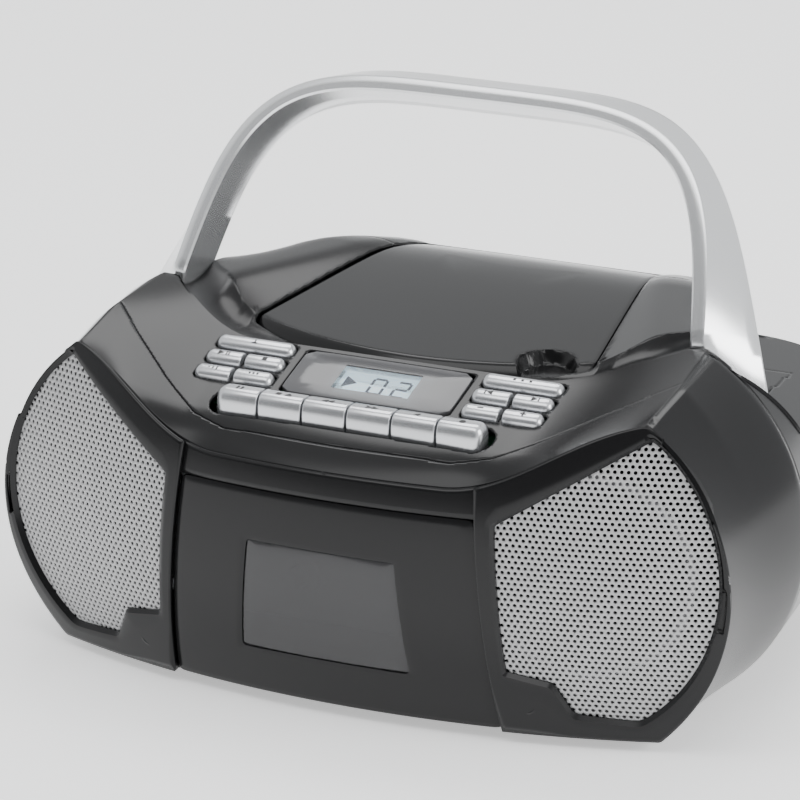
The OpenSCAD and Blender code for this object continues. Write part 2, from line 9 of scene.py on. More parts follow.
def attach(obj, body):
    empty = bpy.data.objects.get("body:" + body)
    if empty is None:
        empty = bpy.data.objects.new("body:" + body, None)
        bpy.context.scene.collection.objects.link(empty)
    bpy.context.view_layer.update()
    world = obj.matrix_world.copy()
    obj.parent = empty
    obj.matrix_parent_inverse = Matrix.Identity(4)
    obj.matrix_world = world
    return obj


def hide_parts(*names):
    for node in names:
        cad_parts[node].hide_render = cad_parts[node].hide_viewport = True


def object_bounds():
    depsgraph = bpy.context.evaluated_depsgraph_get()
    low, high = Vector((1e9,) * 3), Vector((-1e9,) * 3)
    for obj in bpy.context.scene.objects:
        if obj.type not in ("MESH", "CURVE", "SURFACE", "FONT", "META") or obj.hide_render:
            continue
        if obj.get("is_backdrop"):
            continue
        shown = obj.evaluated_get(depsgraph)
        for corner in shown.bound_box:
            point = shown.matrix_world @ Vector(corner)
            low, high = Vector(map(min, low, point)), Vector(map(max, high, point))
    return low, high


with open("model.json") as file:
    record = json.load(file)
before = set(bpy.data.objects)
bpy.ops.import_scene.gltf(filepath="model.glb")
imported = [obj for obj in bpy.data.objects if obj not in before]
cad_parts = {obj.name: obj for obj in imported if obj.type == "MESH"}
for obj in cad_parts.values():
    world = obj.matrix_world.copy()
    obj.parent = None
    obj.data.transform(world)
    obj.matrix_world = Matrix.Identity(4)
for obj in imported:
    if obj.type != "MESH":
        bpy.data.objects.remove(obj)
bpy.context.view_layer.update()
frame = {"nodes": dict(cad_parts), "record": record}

print("stage 1: frame loaded")

# helpers for shapes; all sizes here are millimetres

def smoothStep(t):
    # 3t^2 - 2t^3 between 0 and 1, flat outside
    t = np.clip(t, 0.0, 1.0)
    return t * t * (3.0 - 2.0 * t)

def softMin(values, softness):
    # smallest of several fields, rounded where two of them cross: -s * log(sum(exp(-v / s)))
    stack = np.stack(np.broadcast_arrays(*values))
    low = stack.min(axis=0)
    return low - softness * np.log(np.exp(-(stack - low) / softness).sum(axis=0))

def spaced(stops, steps):
    # evenly spaced numbers from stop to stop, with about one step between them
    parts = [np.linspace(a, b, max(2, int(round(abs(b - a) / s)) + 1))[:-1]
             for a, b, s in zip(stops[:-1], stops[1:], steps)]
    return np.append(np.concatenate(parts), stops[-1])

def sideOf(x, z, ax, az, bx, bz):
    # distance of x, z to the left of the line from a to b
    length = math.hypot(bx - ax, bz - az)
    return ((bx - ax) * (z - az) - (bz - az) * (x - ax)) / length

def reachOf(inside, cx, cz, angles, far=170.0):
    # how far each ray from the centre goes before inside() turns negative, found by halving
    low = np.zeros_like(angles)
    high = np.full_like(angles, far)
    for _ in range(40):
        mid = 0.5 * (low + high)
        good = inside(cx + mid * np.cos(angles), cz + mid * np.sin(angles)) > 0
        low = np.where(good, mid, low)
        high = np.where(good, high, mid)
    return low

class Mould:
    # gathers the surfaces of one piece, then makes them one mesh
    def __init__(self):
        self.points = []
        self.faces = []
        self.marks = []
        self.count = 0

    def add(self, points, faces, mark=0):
        points = np.asarray(points, dtype=float).reshape(-1, 3)
        self.points.append(points)
        self.faces += [tuple(int(i) + self.count for i in face) for face in faces]
        self.marks += [mark] * len(faces)
        self.count += len(points)

    def grid(self, x, y, z, keep=None, around=False, mark=0):
        # four neighbouring points of the grid make one face
        x, y, z = np.broadcast_arrays(x, y, z)
        rows, cols = x.shape
        index = np.arange(rows * cols).reshape(rows, cols)
        if around:
            index = np.hstack([index, index[:, :1]])
        quads = np.stack([index[:-1, :-1], index[:-1, 1:], index[1:, 1:], index[1:, :-1]], axis=-1)
        quads = quads.reshape(-1, 4)
        if keep is not None:
            quads = quads[keep.ravel()]
        used, quads = np.unique(quads, return_inverse=True)
        points = np.stack([x.ravel(), y.ravel(), z.ravel()], axis=-1)[used]
        self.add(points, quads.reshape(-1, 4).tolist(), mark)

    def lid(self, x, y, z, mark=0):
        # one flat face over a ring of points
        points = np.stack(np.broadcast_arrays(x, y, z), axis=-1).reshape(-1, 3)
        self.add(points, [list(range(len(points)))], mark)

    def block(self, low, high, mark=0):
        # a box between two corners
        a, b = np.array(low, float), np.array(high, float)
        corners = [[(a, b)[i][0], (a, b)[j][1], (a, b)[k][2]] for k in (0, 1) for j in (0, 1) for i in (0, 1)]
        sides = [(0, 2, 3, 1), (4, 5, 7, 6), (0, 1, 5, 4), (2, 6, 7, 3), (0, 4, 6, 2), (1, 3, 7, 5)]
        self.add(corners, sides, mark)

    def prism(self, outline, place, height, mark=0):
        # a flat outline pushed up along the third axis of a 4x4 place
        flat = np.array(outline, float)
        n = len(flat)
        low = np.c_[flat, np.zeros(n), np.ones(n)] @ np.array(place).T
        high = np.c_[flat, np.full(n, height), np.ones(n)] @ np.array(place).T
        sides = [(i, (i + 1) % n, n + (i + 1) % n, n + i) for i in range(n)]
        self.add(np.vstack([low[:, :3], high[:, :3]]),
                 [list(range(n))[::-1], list(range(n, 2 * n))] + sides, mark)

    def make(self, name, body, looks, nodes=(), sharp=32.0, wall=0.0, heart=None):
        mesh = bpy.data.meshes.new(name)
        mesh.from_pydata((np.vstack(self.points) * 0.001).tolist(), [], self.faces)
        mesh.polygons.foreach_set("material_index", self.marks)
        work = bmesh.new()
        work.from_mesh(mesh)
        bmesh.ops.remove_doubles(work, verts=work.verts, dist=2e-6)
        bmesh.ops.recalc_face_normals(work, faces=work.faces)
        if heart is not None:
            centre = Vector(heart) * 0.001
            out = sum(f.calc_area() * f.normal.dot(f.calc_center_median() - centre) for f in work.faces)
            if out < 0:
                bmesh.ops.reverse_faces(work, faces=work.faces)
        work.to_mesh(mesh)
        work.free()
        for look in looks:
            mesh.materials.append(look)
        mesh.polygons.foreach_set("use_smooth", [True] * len(mesh.polygons))
        mesh.set_sharp_from_angle(angle=math.radians(sharp))
        piece = bpy.data.objects.new(name, mesh)
        bpy.context.scene.collection.objects.link(piece)
        if wall:
            thick = piece.modifiers.new("wall", "SOLIDIFY")
            thick.thickness = wall * 0.001
            thick.offset = -1.0
            thick.use_even_offset = False
        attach(piece, body)
        if nodes:
            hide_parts(*nodes)
        return piece

# finishes

class Wire:
    # a socket that takes part in sums; each operator adds its Math node
    def __init__(self, tree, socket):
        self.tree = tree
        self.socket = socket

    def node(self, kind, settings=None, inputs=None, out=0):
        item = self.tree.nodes.new(kind)
        for key, value in (settings or {}).items():
            setattr(item, key, value)
        for key, value in (inputs or {}).items():
            if isinstance(value, Wire):
                self.tree.links.new(value.socket, item.inputs[key])
            else:
                item.inputs[key].default_value = value
        return Wire(self.tree, item.outputs[out])

    def sums(self, operation, a, b):
        return self.node("ShaderNodeMath", {"operation": operation}, {0: a, 1: b})

    def __add__(self, other):
        return self.sums("ADD", self, other)

    def __radd__(self, other):
        return self.sums("ADD", other, self)

    def __sub__(self, other):
        return self.sums("SUBTRACT", self, other)

    def __rsub__(self, other):
        return self.sums("SUBTRACT", other, self)

    def __mul__(self, other):
        return self.sums("MULTIPLY", self, other)

    def __rmul__(self, other):
        return self.sums("MULTIPLY", other, self)

def finish(name, colour, roughness, metallic=0.0, grain=0.0, grainSize=900.0, swing=0.0, **fixed):
    # one Principled surface; grain is a fine bump, swing a slow change of roughness
    look = bpy.data.materials.new(name)
    look.use_nodes = True
    tree = look.node_tree
    shader = tree.nodes["Principled BSDF"]
    shader.inputs["Base Color"].default_value = (*colour, 1.0)
    shader.inputs["Roughness"].default_value = roughness
    shader.inputs["Metallic"].default_value = metallic
    for key, value in fixed.items():
        shader.inputs[key].default_value = value
    start = Wire(tree, None)
    spot = start.node("ShaderNodeTexCoord", out=3)
    if swing:
        cloud = start.node("ShaderNodeTexNoise", inputs={"Vector": spot, "Scale": 26.0, "Detail": 2.0})
        rough = roughness + swing * (cloud - 0.5)
        tree.links.new(rough.socket, shader.inputs["Roughness"])
    if grain:
        speck = start.node("ShaderNodeTexNoise", inputs={"Vector": spot, "Scale": grainSize, "Detail": 2.0})
        bump = start.node("ShaderNodeBump", inputs={"Strength": grain, "Distance": 0.0002, "Height": speck})
        tree.links.new(bump.socket, shader.inputs["Normal"])
    look.diffuse_color = (*colour, 1.0)
    return look

glossBlack = finish("glossBlack", (0.0075, 0.0075, 0.008), 0.2, swing=0.03, **{"Specular IOR Level": 0.3})
lidBlack = finish("lidBlack", (0.0075, 0.0075, 0.008), 0.17, swing=0.03, **{"Specular IOR Level": 0.32})
innerBlack = finish("innerBlack", (0.010, 0.010, 0.010), 0.6, grain=0.1)
matteBlack = finish("matteBlack", (0.014, 0.014, 0.015), 0.5, grain=0.12)
silverPaint = finish("silverPaint", (0.86, 0.87, 0.88), 0.2, 0.85, swing=0.03)
keySilver = finish("keySilver", (0.66, 0.67, 0.69), 0.24, 0.85, swing=0.04, grain=0.03)
symbolInk = finish("symbolInk", (0.02, 0.02, 0.022), 0.5)
grilleSteel = finish("grilleSteel", (0.44, 0.44, 0.445), 0.45, 0.3, grain=0.03)
glassSmoke = finish("glassSmoke", (0.11, 0.11, 0.115), 0.12)
windowSmoke = finish("windowSmoke", (0.045, 0.045, 0.047), 0.16, **{"Alpha": 0.8})
lcdBlue = finish("lcdBlue", (0.60, 0.74, 0.82), 0.35,
                 **{"Emission Color": (0.6, 0.76, 0.86, 1.0), "Emission Strength": 0.75})
lcdInk = finish("lcdInk", (0.03, 0.05, 0.08), 0.4)
plainSteel = finish("plainSteel", (0.55, 0.55, 0.57), 0.35, 0.9, grain=0.05)
brightChrome = finish("brightChrome", (0.8, 0.8, 0.82), 0.12, 1.0)
yellowBrass = finish("yellowBrass", (0.75, 0.55, 0.25), 0.3, 1.0)
boardGreen = finish("boardGreen", (0.02, 0.12, 0.05), 0.45)
softRubber = finish("softRubber", (0.015, 0.015, 0.015), 0.75, grain=0.2)
paperCone = finish("paperCone", (0.02, 0.02, 0.02), 0.8, grain=0.3)
greyPlastic = finish("greyPlastic", (0.30, 0.30, 0.31), 0.5, grain=0.1)

slotLooks = {
    "black_gloss": glossBlack, "black_matte": matteBlack, "silver_plastic": silverPaint,
    "key_silver": keySilver, "grille_metal": grilleSteel, "smoked_lens": glassSmoke,
    "smoked_window": windowSmoke, "lcd_glass": lcdBlue, "steel": plainSteel, "chrome": brightChrome,
    "brass": yellowBrass, "board_green": boardGreen, "rubber": softRubber,
    "paper_cone": paperCone, "grey_plastic": greyPlastic}
for part in frame["record"]["subparts"]:
    node = frame["nodes"][part["node"]]
    look = slotLooks[part["material_slot"]]
    if node.material_slots:
        for place in node.material_slots:
            place.material = look
    else:
        node.data.materials.append(look)
print("stage 2: finishes", len(slotLooks))

# camera, floor and lights

view = {"turn": 25.8, "rise": 19.0, "distance": 1.614, "aim": (0.0, -0.042, 0.084), "lens": 196.0,
        "shift": 0.065}
turn, rise = math.radians(view["turn"]), math.radians(view["rise"])
back = Vector((math.sin(turn) * math.cos(rise), -math.cos(turn) * math.cos(rise), math.sin(rise)))
camera = bpy.data.objects.new("camera", bpy.data.cameras.new("camera"))
camera.location = Vector(view["aim"]) + back * view["distance"]
camera.rotation_euler = back.to_track_quat("Z", "Y").to_euler()
camera.data.lens = view["lens"]
camera.data.sensor_width = 36.0
camera.data.shift_y = view["shift"]
bpy.context.scene.collection.objects.link(camera)
bpy.context.scene.camera = camera

def stagePlane(name, points, look):
    # one flat face of the set
    mesh = bpy.data.meshes.new(name)
    mesh.from_pydata(points, [], [(0, 1, 2, 3)])
    mesh.materials.append(look)
    plane = bpy.data.objects.new(name, mesh)
    bpy.context.scene.collection.objects.link(plane)
    plane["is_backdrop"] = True

def softBox(name, place, aim, width, height, power):
    # a rectangular lamp that faces a point
    lamp = bpy.data.lights.new(name, "AREA")
    lamp.shape = "RECTANGLE"
    lamp.size, lamp.size_y, lamp.energy = width, height, power
    box = bpy.data.objects.new(name, lamp)
    box.location = place
    box.rotation_euler = (Vector(place) - Vector(aim)).to_track_quat("Z", "Y").to_euler()
    bpy.context.scene.collection.objects.link(box)
    box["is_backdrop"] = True

paleFloor = finish("paleFloor", (0.93, 0.93, 0.93), 0.9,
                   **{"Emission Color": (1.0, 1.0, 1.0, 1.0), "Emission Strength": 0.6})
stagePlane("floor", [(-30, -30, 0), (30, -30, 0), (30, 30, 0), (-30, 30, 0)], paleFloor)
studio = {"zenith": 0.95, "horizon": 0.95, "front": 0.2, "backdrop": 1.3}
softBox("boxAbove", (-0.3, 0.9, 1.8), (0, 0.1, 0.1), 1.5, 1.0, 20.0)
softBox("boxRight", (2.0, 0.1, 0.9), (0, 0, 0.1), 1.0, 1.2, 26.0)
softBox("boxFloor", (0.0, -1.2, 2.4), (0, -0.6, 0.0), 2.6, 1.2, 26.0)
world = bpy.data.worlds.new("studio")
world.use_nodes = True
tree = world.node_tree
sky = Wire(tree, None)
way = sky.node("ShaderNodeSeparateXYZ", inputs={"Vector": sky.node("ShaderNodeTexCoord", out=0)}, out=2)
ahead = Wire(tree, way.socket.node.outputs[1])
up = way.node("ShaderNodeMapRange", {"interpolation_type": "SMOOTHSTEP"},
              {"Value": way, "From Min": -0.1, "From Max": 0.9,
               "To Min": studio["horizon"], "To Max": studio["zenith"]})
dark = way.node("ShaderNodeMapRange", {"interpolation_type": "SMOOTHSTEP"},
                {"Value": ahead, "From Min": -0.85, "From Max": -0.45,
                 "To Min": studio["front"], "To Max": 1.0})
seen = sky.node("ShaderNodeLightPath")
strength = up * dark * (1.0 - seen) + studio["backdrop"] * seen
tree.links.new(strength.socket, tree.nodes["Background"].inputs["Strength"])
tree.nodes["Background"].inputs["Color"].default_value = (0.97, 0.985, 1.0, 1.0)
bpy.context.scene.world = world
print("stage 3: camera and lights")

# the shape of the body

body = {
    "axisY": 252.5,          # upright axis that the front is turned about
    "frontRadius": 362.5,
    "barrelRadius": 165.0,   # side view of the front
    "barrelZ": 60.0,
    "sideRadius": 76.0,      # front view of the sides
    "sideZ": 65.0,
    "halfWidth": 152.5,
    "widestY": -20.0,
    "frontTaper": 6.0,
    "rearTaper": 7.0,
    "bezelY": -79.0,         # plane that the front's outer edge lies in
    "rearY": 110.0,
    "footHeight": 3.0,
}

def barrelRadius(z):
    # radius of the front about its upright axis: a circle arc over the height
    return (body["frontRadius"] - body["barrelRadius"]
            + np.sqrt(np.maximum(0.0, body["barrelRadius"] ** 2 - (z - body["barrelZ"]) ** 2)))

def barrelY(x, z, depth=0.0):
    # the front: a circle of the height's radius, seen from above
    return body["axisY"] - np.sqrt(np.maximum(0.0, (barrelRadius(z) - depth) ** 2 - x * x))

def lipZ(x):
    # height of the lip between the front and the deck: low in the middle, a cosine up to the tips
    return 96.0 + 13.15 * (1.0 - np.cos(np.pi * np.clip((np.abs(x) - 45.0) / 75.0, 0.0, 1.0)))

def bezelX(z):
    # where the barrel's circle crosses the bezel's plane
    return np.sqrt(np.maximum(0.0, barrelRadius(z) ** 2 - (body["axisY"] - body["bezelY"]) ** 2))

def sideWidth(y):
    # half the width at the fullest height: it closes in towards both ends
    front = np.tan(np.radians(body["frontTaper"])) * np.maximum(0.0, body["widestY"] - y)
    rear = np.tan(np.radians(body["rearTaper"])) * np.maximum(0.0, y - body["widestY"])
    return body["halfWidth"] - front - rear

def sideInset(z):
    # how far a circle arc draws the side in above and below its middle
    r = body["sideRadius"]
    return r - np.sqrt(np.maximum(0.0, r * r - (z - body["sideZ"]) ** 2))

def sideX(y, z):
    # the bezel's edge at the front, turning into a round slab
    share = smoothStep((y - body["bezelY"]) / 62.0) ** 0.75
    return (1.0 - share) * bezelX(z) + share * (sideWidth(y) - sideInset(z))

def rearInset(z):
    # the rear leans forward above the battery door and tucks in at the floor
    return np.maximum(0.0, z - 94.0) * 0.63 + 4.0 * np.clip((14.0 - z) / 11.0, 0.0, 1.0) ** 2

def cornerPoint(angle, z):
    # rear corner: rays from (80, 50) whose length turns from the side's reach to the rear's
    share = smoothStep((angle - math.radians(7)) / math.radians(83))
    reach = (1 - share) * (63.4 - sideInset(z)) + share * (60.0 - rearInset(z))
    return 80.0 + reach * np.cos(angle), 50.0 + reach * np.sin(angle)

shelf = {"z": 99.0, "wallY": -17.0, "cornersY": (-17.0, 20.0, 46.0, 65.0, 76.0, 130.0),
         "cornersX": (104.5, 101.2, 95.0, 85.5, 78.0, 78.0)}

def shelfWallX(y):
    # inner wall of the shelf under the folded handle, straight from corner to corner
    return np.interp(y, shelf["cornersY"], shelf["cornersX"])

def crownX(y):
    # where the top meets the side, seen from above
    angle = np.linspace(math.radians(7), math.radians(90), 60)
    cornerX, cornerY = cornerPoint(angle, shelf["z"])
    side = np.interp(y, [-79.0, -51.0, -20.0, -17.0], [113.6, 114.7, 112.4, 122.5])
    slant = 139.5 + y
    low = sideWidth(y) - sideInset(shelf["z"])
    x = np.where(y < shelf["wallY"], side, np.minimum(slant, low))
    return np.where(y > 57.8, np.interp(y, cornerY, cornerX), x)

def crownZ(y):
    # height of that line: the tips in front, the side's circle arc over the slant, the shelf behind
    r = body["sideRadius"]
    across = crownX(y) - sideWidth(y) + r
    z = body["sideZ"] + np.sqrt(np.maximum(0.0, r * r - across ** 2))
    z = np.maximum(z, shelf["z"])
    tip = np.interp(y, [-79.0, -51.0, -20.0], [122.3, 128.4, 132.3])
    z = np.where(y < -20.0, tip, np.where(y > 2.5, shelf["z"], z))
    return z

def ridgeZ(y):
    # the crease that runs back from the tip to the handle
    b = -20.0 - y
    return np.where(y < -20.0, 132.4 - 0.11 * b - 0.0012 * b * b, 132.4)

def deckZ(x, y):
    # deck: a sloped floor whose flanks sweep up to the crease, and which meets the lip
    a = np.abs(x)
    floor = 121.5 + 0.3386 * (y + 47.0) - 5.3 * (np.maximum(0.0, -88.0 - y) / 18.0) ** 1.8
    sweep = np.clip((a - 62.0) / 51.0, 0.0, 1.2) ** 1.6
    z = floor + (ridgeZ(y) - floor) * sweep
    lipY = barrelY(a, lipZ(a))
    floorLip = 121.5 + 0.3386 * (lipY + 47.0) - 5.3 * (np.maximum(0.0, -88.0 - lipY) / 18.0) ** 1.8
    zLip = floorLip + (ridgeZ(lipY) - floorLip) * sweep
    return z + (lipZ(a) - zLip) * np.exp(-np.maximum(0.0, y - lipY) / 9.0)

def deckEndY(x):
    # rear edge of the deck: straight behind the controls, sweeping back to the handle
    return -46.5 + 30.5 * np.clip((np.abs(x) - 58.0) / 49.0, 0.0, 1.0) ** 1.7

def lidTopZ(x, y):
    # crowned panel, rising to the rear and falling behind the disc
    rise = 118.9 + (y + 50.0) * 0.103
    fall = 129.8 - np.maximum(0.0, y - 44.0) ** 2 * 0.0034
    return softMin([rise, fall], 1.2) + 0.7 * (1.0 - (x / 76.0) ** 2)

def humpZ(x, y):
    # the top behind the handle: it climbs from the lid's edge, rounds to the shelf, falls to the rear
    a = np.abs(x)
    fall = 132.2 - 9.0 * np.maximum(0.0, (y - 52.0) / 41.0) ** 1.6
    edge = shelfWallX(y)
    drop = 8.0 * smoothStep((y - 5.0) / 45.0) * np.clip((a - (edge - 18.0)) / 18.0, 0.0, 1.0) ** 2.6
    beside = a - np.interp(y, [-50.0, 52.0, 90.0], [76.5, 57.5, 51.0])
    climb = lidTopZ(a, y) + 0.8 + 0.45 * np.maximum(0.0, beside)
    rear = 99.0 + (106.9 - y) * 1.62
    return softMin([fall - drop, climb - 0.6 * drop, rear + 0.0 * a], 0.9)

def valleyZ(x, y):
    # the hollow between the deck's rear edge and the hump
    a = np.abs(x)
    start = deckEndY(x)
    end = np.where(a < 76.0, start + 22.0, -20.0 + (a - 76.0) * 0.93)
    t = np.clip((y - start) / np.maximum(4.0, end - start), 0.0, 1.0)
    edgeZ = deckZ(x, start)
    endZ = humpZ(x, end)
    return (1 - t) * (edgeZ - 2.6) + t * endZ - 3.2 * np.sin(np.pi * t) ** 0.8, t

def topZ(x, y):
    # height of the whole top: deck, hollow, hump and shelf, each in its own area
    a = np.abs(x)
    valley, t = valleyZ(x, y)
    behind = np.where(t < 1.0, valley, humpZ(x, y))
    z = np.where(y < deckEndY(x), deckZ(x, y), behind)
    r = body["sideRadius"]
    across = np.clip(a - sideWidth(y) + r, 0.0, r)
    sideTop = body["sideZ"] + np.sqrt(r * r - across ** 2)
    front = (y <= shelf["wallY"]) & (y > -20.5)
    z = np.where((y > shelf["wallY"]) & (a > shelfWallX(y)), shelf["z"], z)
    return np.where(front, np.minimum(z, sideTop + 0.3), z)

print("stage 4: body fields")

# openings and seams in the top, as fields that are negative inside

def roundedBox(x, y, cx, cy, halfX, halfY, r):
    # distance to a rectangle with round corners
    qx = np.abs(x - cx) - (halfX - r)
    qy = np.abs(y - cy) - (halfY - r)
    return np.hypot(np.maximum(qx, 0), np.maximum(qy, 0)) + np.minimum(np.maximum(qx, qy), 0) - r

def seamField(x, y):
    # front seam of the controls' moulding, a bow round the keys
    bow = np.interp(np.abs(x), [0.0, 45.0, 60.0, 78.0, 100.0, 113.0, 116.0],
                    [-96.8, -95.5, -91.0, -78.5, -61.0, -49.0, -46.2])
    return y - bow

controls = {"y": -47.0, "z": 121.5, "slope": math.atan(9.5 / 28), "gap": 0.45,
            "rows": (-5.0, -14.5, -24.0), "capRadius": 3.6, "capDrop": -0.6}
cosSlope, sinSlope = math.cos(controls["slope"]), math.sin(controls["slope"])

def onSlope(x, v, n):
    # a place on the sloped panel: v up along it, n out of it
    return (x, controls["y"] + v * cosSlope - n * sinSlope, controls["z"] + v * sinSlope + n * cosSlope)

buttonPlaces = {
    "power_button": (-54.3, 0, 31.6), "play_pause_button": (-62.6, 1, 15.0), "stop_button": (-45.8, 1, 15.0),
    "program_button": (-62.6, 2, 15.0), "mode_button": (-45.8, 2, 15.0), "function_button": (54.3, 0, 31.6),
    "skip_back_button": (45.8, 1, 15.0), "skip_forward_button": (62.6, 1, 15.0),
    "volume_down_button": (45.8, 2, 15.0), "volume_up_button": (62.6, 2, 15.0)}

keySlot = {"y": -83.05, "halfWide": 56.7, "halfDeep": 6.85, "round": 6.4}

def keySlotField(x, y):
    # the long slot of the piano keys
    return roundedBox(x, y, 0.0, keySlot["y"], keySlot["halfWide"], keySlot["halfDeep"], keySlot["round"])

def lensField(x, y):
    # the lens's opening, seen from above
    low, high = onSlope(0, -28.0, 0)[1], onSlope(0, -2.0, 0)[1]
    return roundedBox(x, y, 0.0, 0.5 * (low + high), 34.5, 0.5 * (high - low) + 0.3, 1.6)

def buttonsField(x, y):
    # the nearest of the ten button openings
    fields = []
    for bx, row, length in buttonPlaces.values():
        cy = onSlope(0, controls["rows"][row], controls["capDrop"])[1]
        fields.append(roundedBox(x, y, bx, cy, length / 2 + controls["gap"],
                                 controls["capRadius"] * cosSlope + controls["gap"], 2.2))
    return np.minimum.reduce(fields)

disc = {"frontRadius": 146.0, "frontY": -42.0, "rearY": 90.0, "thick": 4.6, "gap": 0.9}

def lidField(x, y, grow=0.0):
    # the lid's outline: an arc in front, slanted sides and a straight rear, negative inside
    a = np.abs(x)
    arc = disc["frontRadius"] - np.hypot(x, y - disc["frontY"] - disc["frontRadius"])
    flank = 76.5 - (y + 50.0) * 0.1863 - a
    rearFlank = 57.5 - (y - 52.0) * 0.171 - a
    return -softMin([arc, flank, rearFlank, disc["rearY"] - y], 1.6) - grow

def lidOpening(x, y):
    return lidField(x, y, disc["gap"])

def snapTo(x, y, field):
    # of two neighbouring points on either side of a field's zero line, the nearer one slides onto it
    d = field(x, y)
    newX, newY = x.copy(), y.copy()
    near = np.zeros(x.shape, dtype=bool)
    for axis in (0, 1):
        first = (slice(None, -1), slice(None)) if axis == 0 else (slice(None), slice(None, -1))
        second = (slice(1, None), slice(None)) if axis == 0 else (slice(None), slice(1, None))
        a, b = d[first], d[second]
        crosses = (a > 0) != (b > 0)
        share = np.where(crosses, a / np.where(crosses, a - b, 1.0), 0.0)
        hitX = x[first] + (x[second] - x[first]) * share
        hitY = y[first] + (y[second] - y[first]) * share
        for spot, wanted in ((first, crosses & (share < 0.5)), (second, crosses & (share >= 0.5))):
            free = wanted & ~near[spot]
            newX[spot] = np.where(free, hitX, newX[spot])
            newY[spot] = np.where(free, hitY, newY[spot])
            near[spot] |= free
    return newX, newY, near

# top: one sheet of heights, cut into the three mouldings

topSheet = {"fine": 0.7, "middle": 1.1, "coarse": 1.5, "lipY": -106.1, "rearEnd": 106.9, "seam": 66.0}
columns = spaced([0.0, 75.0, 112.6, 113.1, 113.6], [topSheet["fine"], topSheet["middle"], 0.5, 0.5])
columns = np.concatenate([-columns[::-1], columns[1:]]) / 113.6
rows = spaced([topSheet["lipY"], -46.0, -12.0, topSheet["rearEnd"]],
              [topSheet["fine"], 0.9, topSheet["coarse"]])
u, r = np.meshgrid(columns, rows)
lipX = u * 113.6
lipYs = barrelY(lipX, lipZ(lipX))
sheetY = r + (lipYs - topSheet["lipY"]) * np.clip((-49.0 - r) / 57.1, 0.0, 1.0) ** 1.3
sheetY[0] = lipYs[0]
sheetX = u * crownX(sheetY)
border = np.abs(u) > 0.9999
nearEdge = np.zeros_like(sheetX, dtype=bool)
seamLine = np.zeros_like(nearEdge)
movable = np.ones_like(nearEdge)
movable[0] = False
movable[:, [0, -1]] = False

def slideOnto(field, free):
    # moves the free grid points next to a field's zero line onto it
    global sheetX, sheetY
    newX, newY, near = snapTo(sheetX, sheetY, field)
    near &= free
    sheetX, sheetY = np.where(near, newX, sheetX), np.where(near, newY, sheetY)
    return near

for field in (lambda x, y: y - deckEndY(x), lambda x, y: shelfWallX(y) - np.abs(x)):
    near = slideOnto(field, movable)
    nearEdge |= near
    movable &= ~near
for field in (seamField, keySlotField, lensField, buttonsField, lidOpening):
    near = slideOnto(field, movable)
    movable &= ~near
    if field is seamField:
        seamLine = near & (np.abs(sheetX) < 114.0)
evalX = np.where(nearEdge, sheetX * 0.9995, sheetX)
evalY = np.where(nearEdge, sheetY - 0.04, sheetY)
sheetZ = topZ(evalX, evalY)
sheetZ = np.where(border, crownZ(sheetY), sheetZ)
sheetZ[0] = lipZ(sheetX[0])

def middle(a):
    # mean of each cell's four corners
    return 0.25 * (a[:-1, :-1] + a[1:, :-1] + a[:-1, 1:] + a[1:, 1:])

def mouldingAt(x, y):
    # 0 is an opening, 1 the front moulding, 2 the top, 3 the rear
    fields = [keySlotField(x, y), lensField(x, y), buttonsField(x, y), lidOpening(x, y)]
    opening = np.minimum.reduce(fields) < 0
    front = (seamField(x, y) < 0.0) & (y < -45.0)
    top = ((np.abs(x) < 113.0) | (y < -17.0)) & (y < topSheet["seam"])
    return np.where(opening, 0, np.where(front, 1, np.where(top, 2, 3)))

# cells whose opposite corners both lie on an outline are cut in two along it
onLine = ~movable
pointIndex = np.arange(sheetX.size).reshape(sheetX.shape)
c00, c01, c11, c10 = (pointIndex[:-1, :-1], pointIndex[:-1, 1:], pointIndex[1:, 1:], pointIndex[1:, :-1])
cutA = onLine[:-1, :-1] & onLine[1:, 1:]
cutB = onLine[:-1, 1:] & onLine[1:, :-1] & ~cutA
whole = ~(cutA | cutB)
quads = np.stack([c00, c01, c11, c10], axis=-1)[whole]
triangles = np.concatenate([
    np.stack([c00, c01, c11], axis=-1)[cutA], np.stack([c00, c11, c10], axis=-1)[cutA],
    np.stack([c00, c01, c10], axis=-1)[cutB], np.stack([c01, c11, c10], axis=-1)[cutB]])

def addSheet(mould, kind, shiftY):
    # the faces of one moulding; its edge along the seam moves by shiftY
    for faces in (quads, triangles):
        mine = mouldingAt(sheetX.ravel()[faces].mean(axis=1), sheetY.ravel()[faces].mean(axis=1)) == kind
        used, renumbered = np.unique(faces[mine], return_inverse=True)
        points = np.stack([sheetX.ravel(), (sheetY + shiftY * seamLine).ravel(), sheetZ.ravel()], axis=-1)
        mould.add(points[used], renumbered.reshape(-1, faces.shape[1]).tolist())

topMould = Mould()
addSheet(topMould, 2, 0.3)
topMould.make("topShell", "cabinet", [glossBlack], ["top_cabinet"], sharp=30.0,
              wall=2.2, heart=(0, 0, 0))

# sides, rear and floor

def wrapBelow(mould, side, y, zs):
    # stations along y, each a column of heights down the side; the upper third meets the top's border
    yy, zz = np.broadcast_arrays(y, zs)
    x = sideX(yy, zz)
    top = sideX(yy[:1], zz[:1])
    reach = (zz[:1] - zz) / np.maximum(1.0, zz[:1] - body["footHeight"])
    x = x + (crownX(yy[:1]) - top) * np.clip(1.0 - 3.0 * reach, 0.0, 1.0) ** 2
    mould.grid(side * x, yy, zz)

frontMould = Mould()
addSheet(frontMould, 1, -0.1)
floorZ = 3.2
frontStations = spaced([body["bezelY"], -18.15], [1.5])
fall = spaced([0.0, 1.0], [0.02])[:, None]
frontColumns = crownZ(frontStations)[None, :] + (floorZ - crownZ(frontStations)[None, :]) * fall
for side in (-1, 1):
    wrapBelow(frontMould, side, frontStations[None, :], frontColumns)

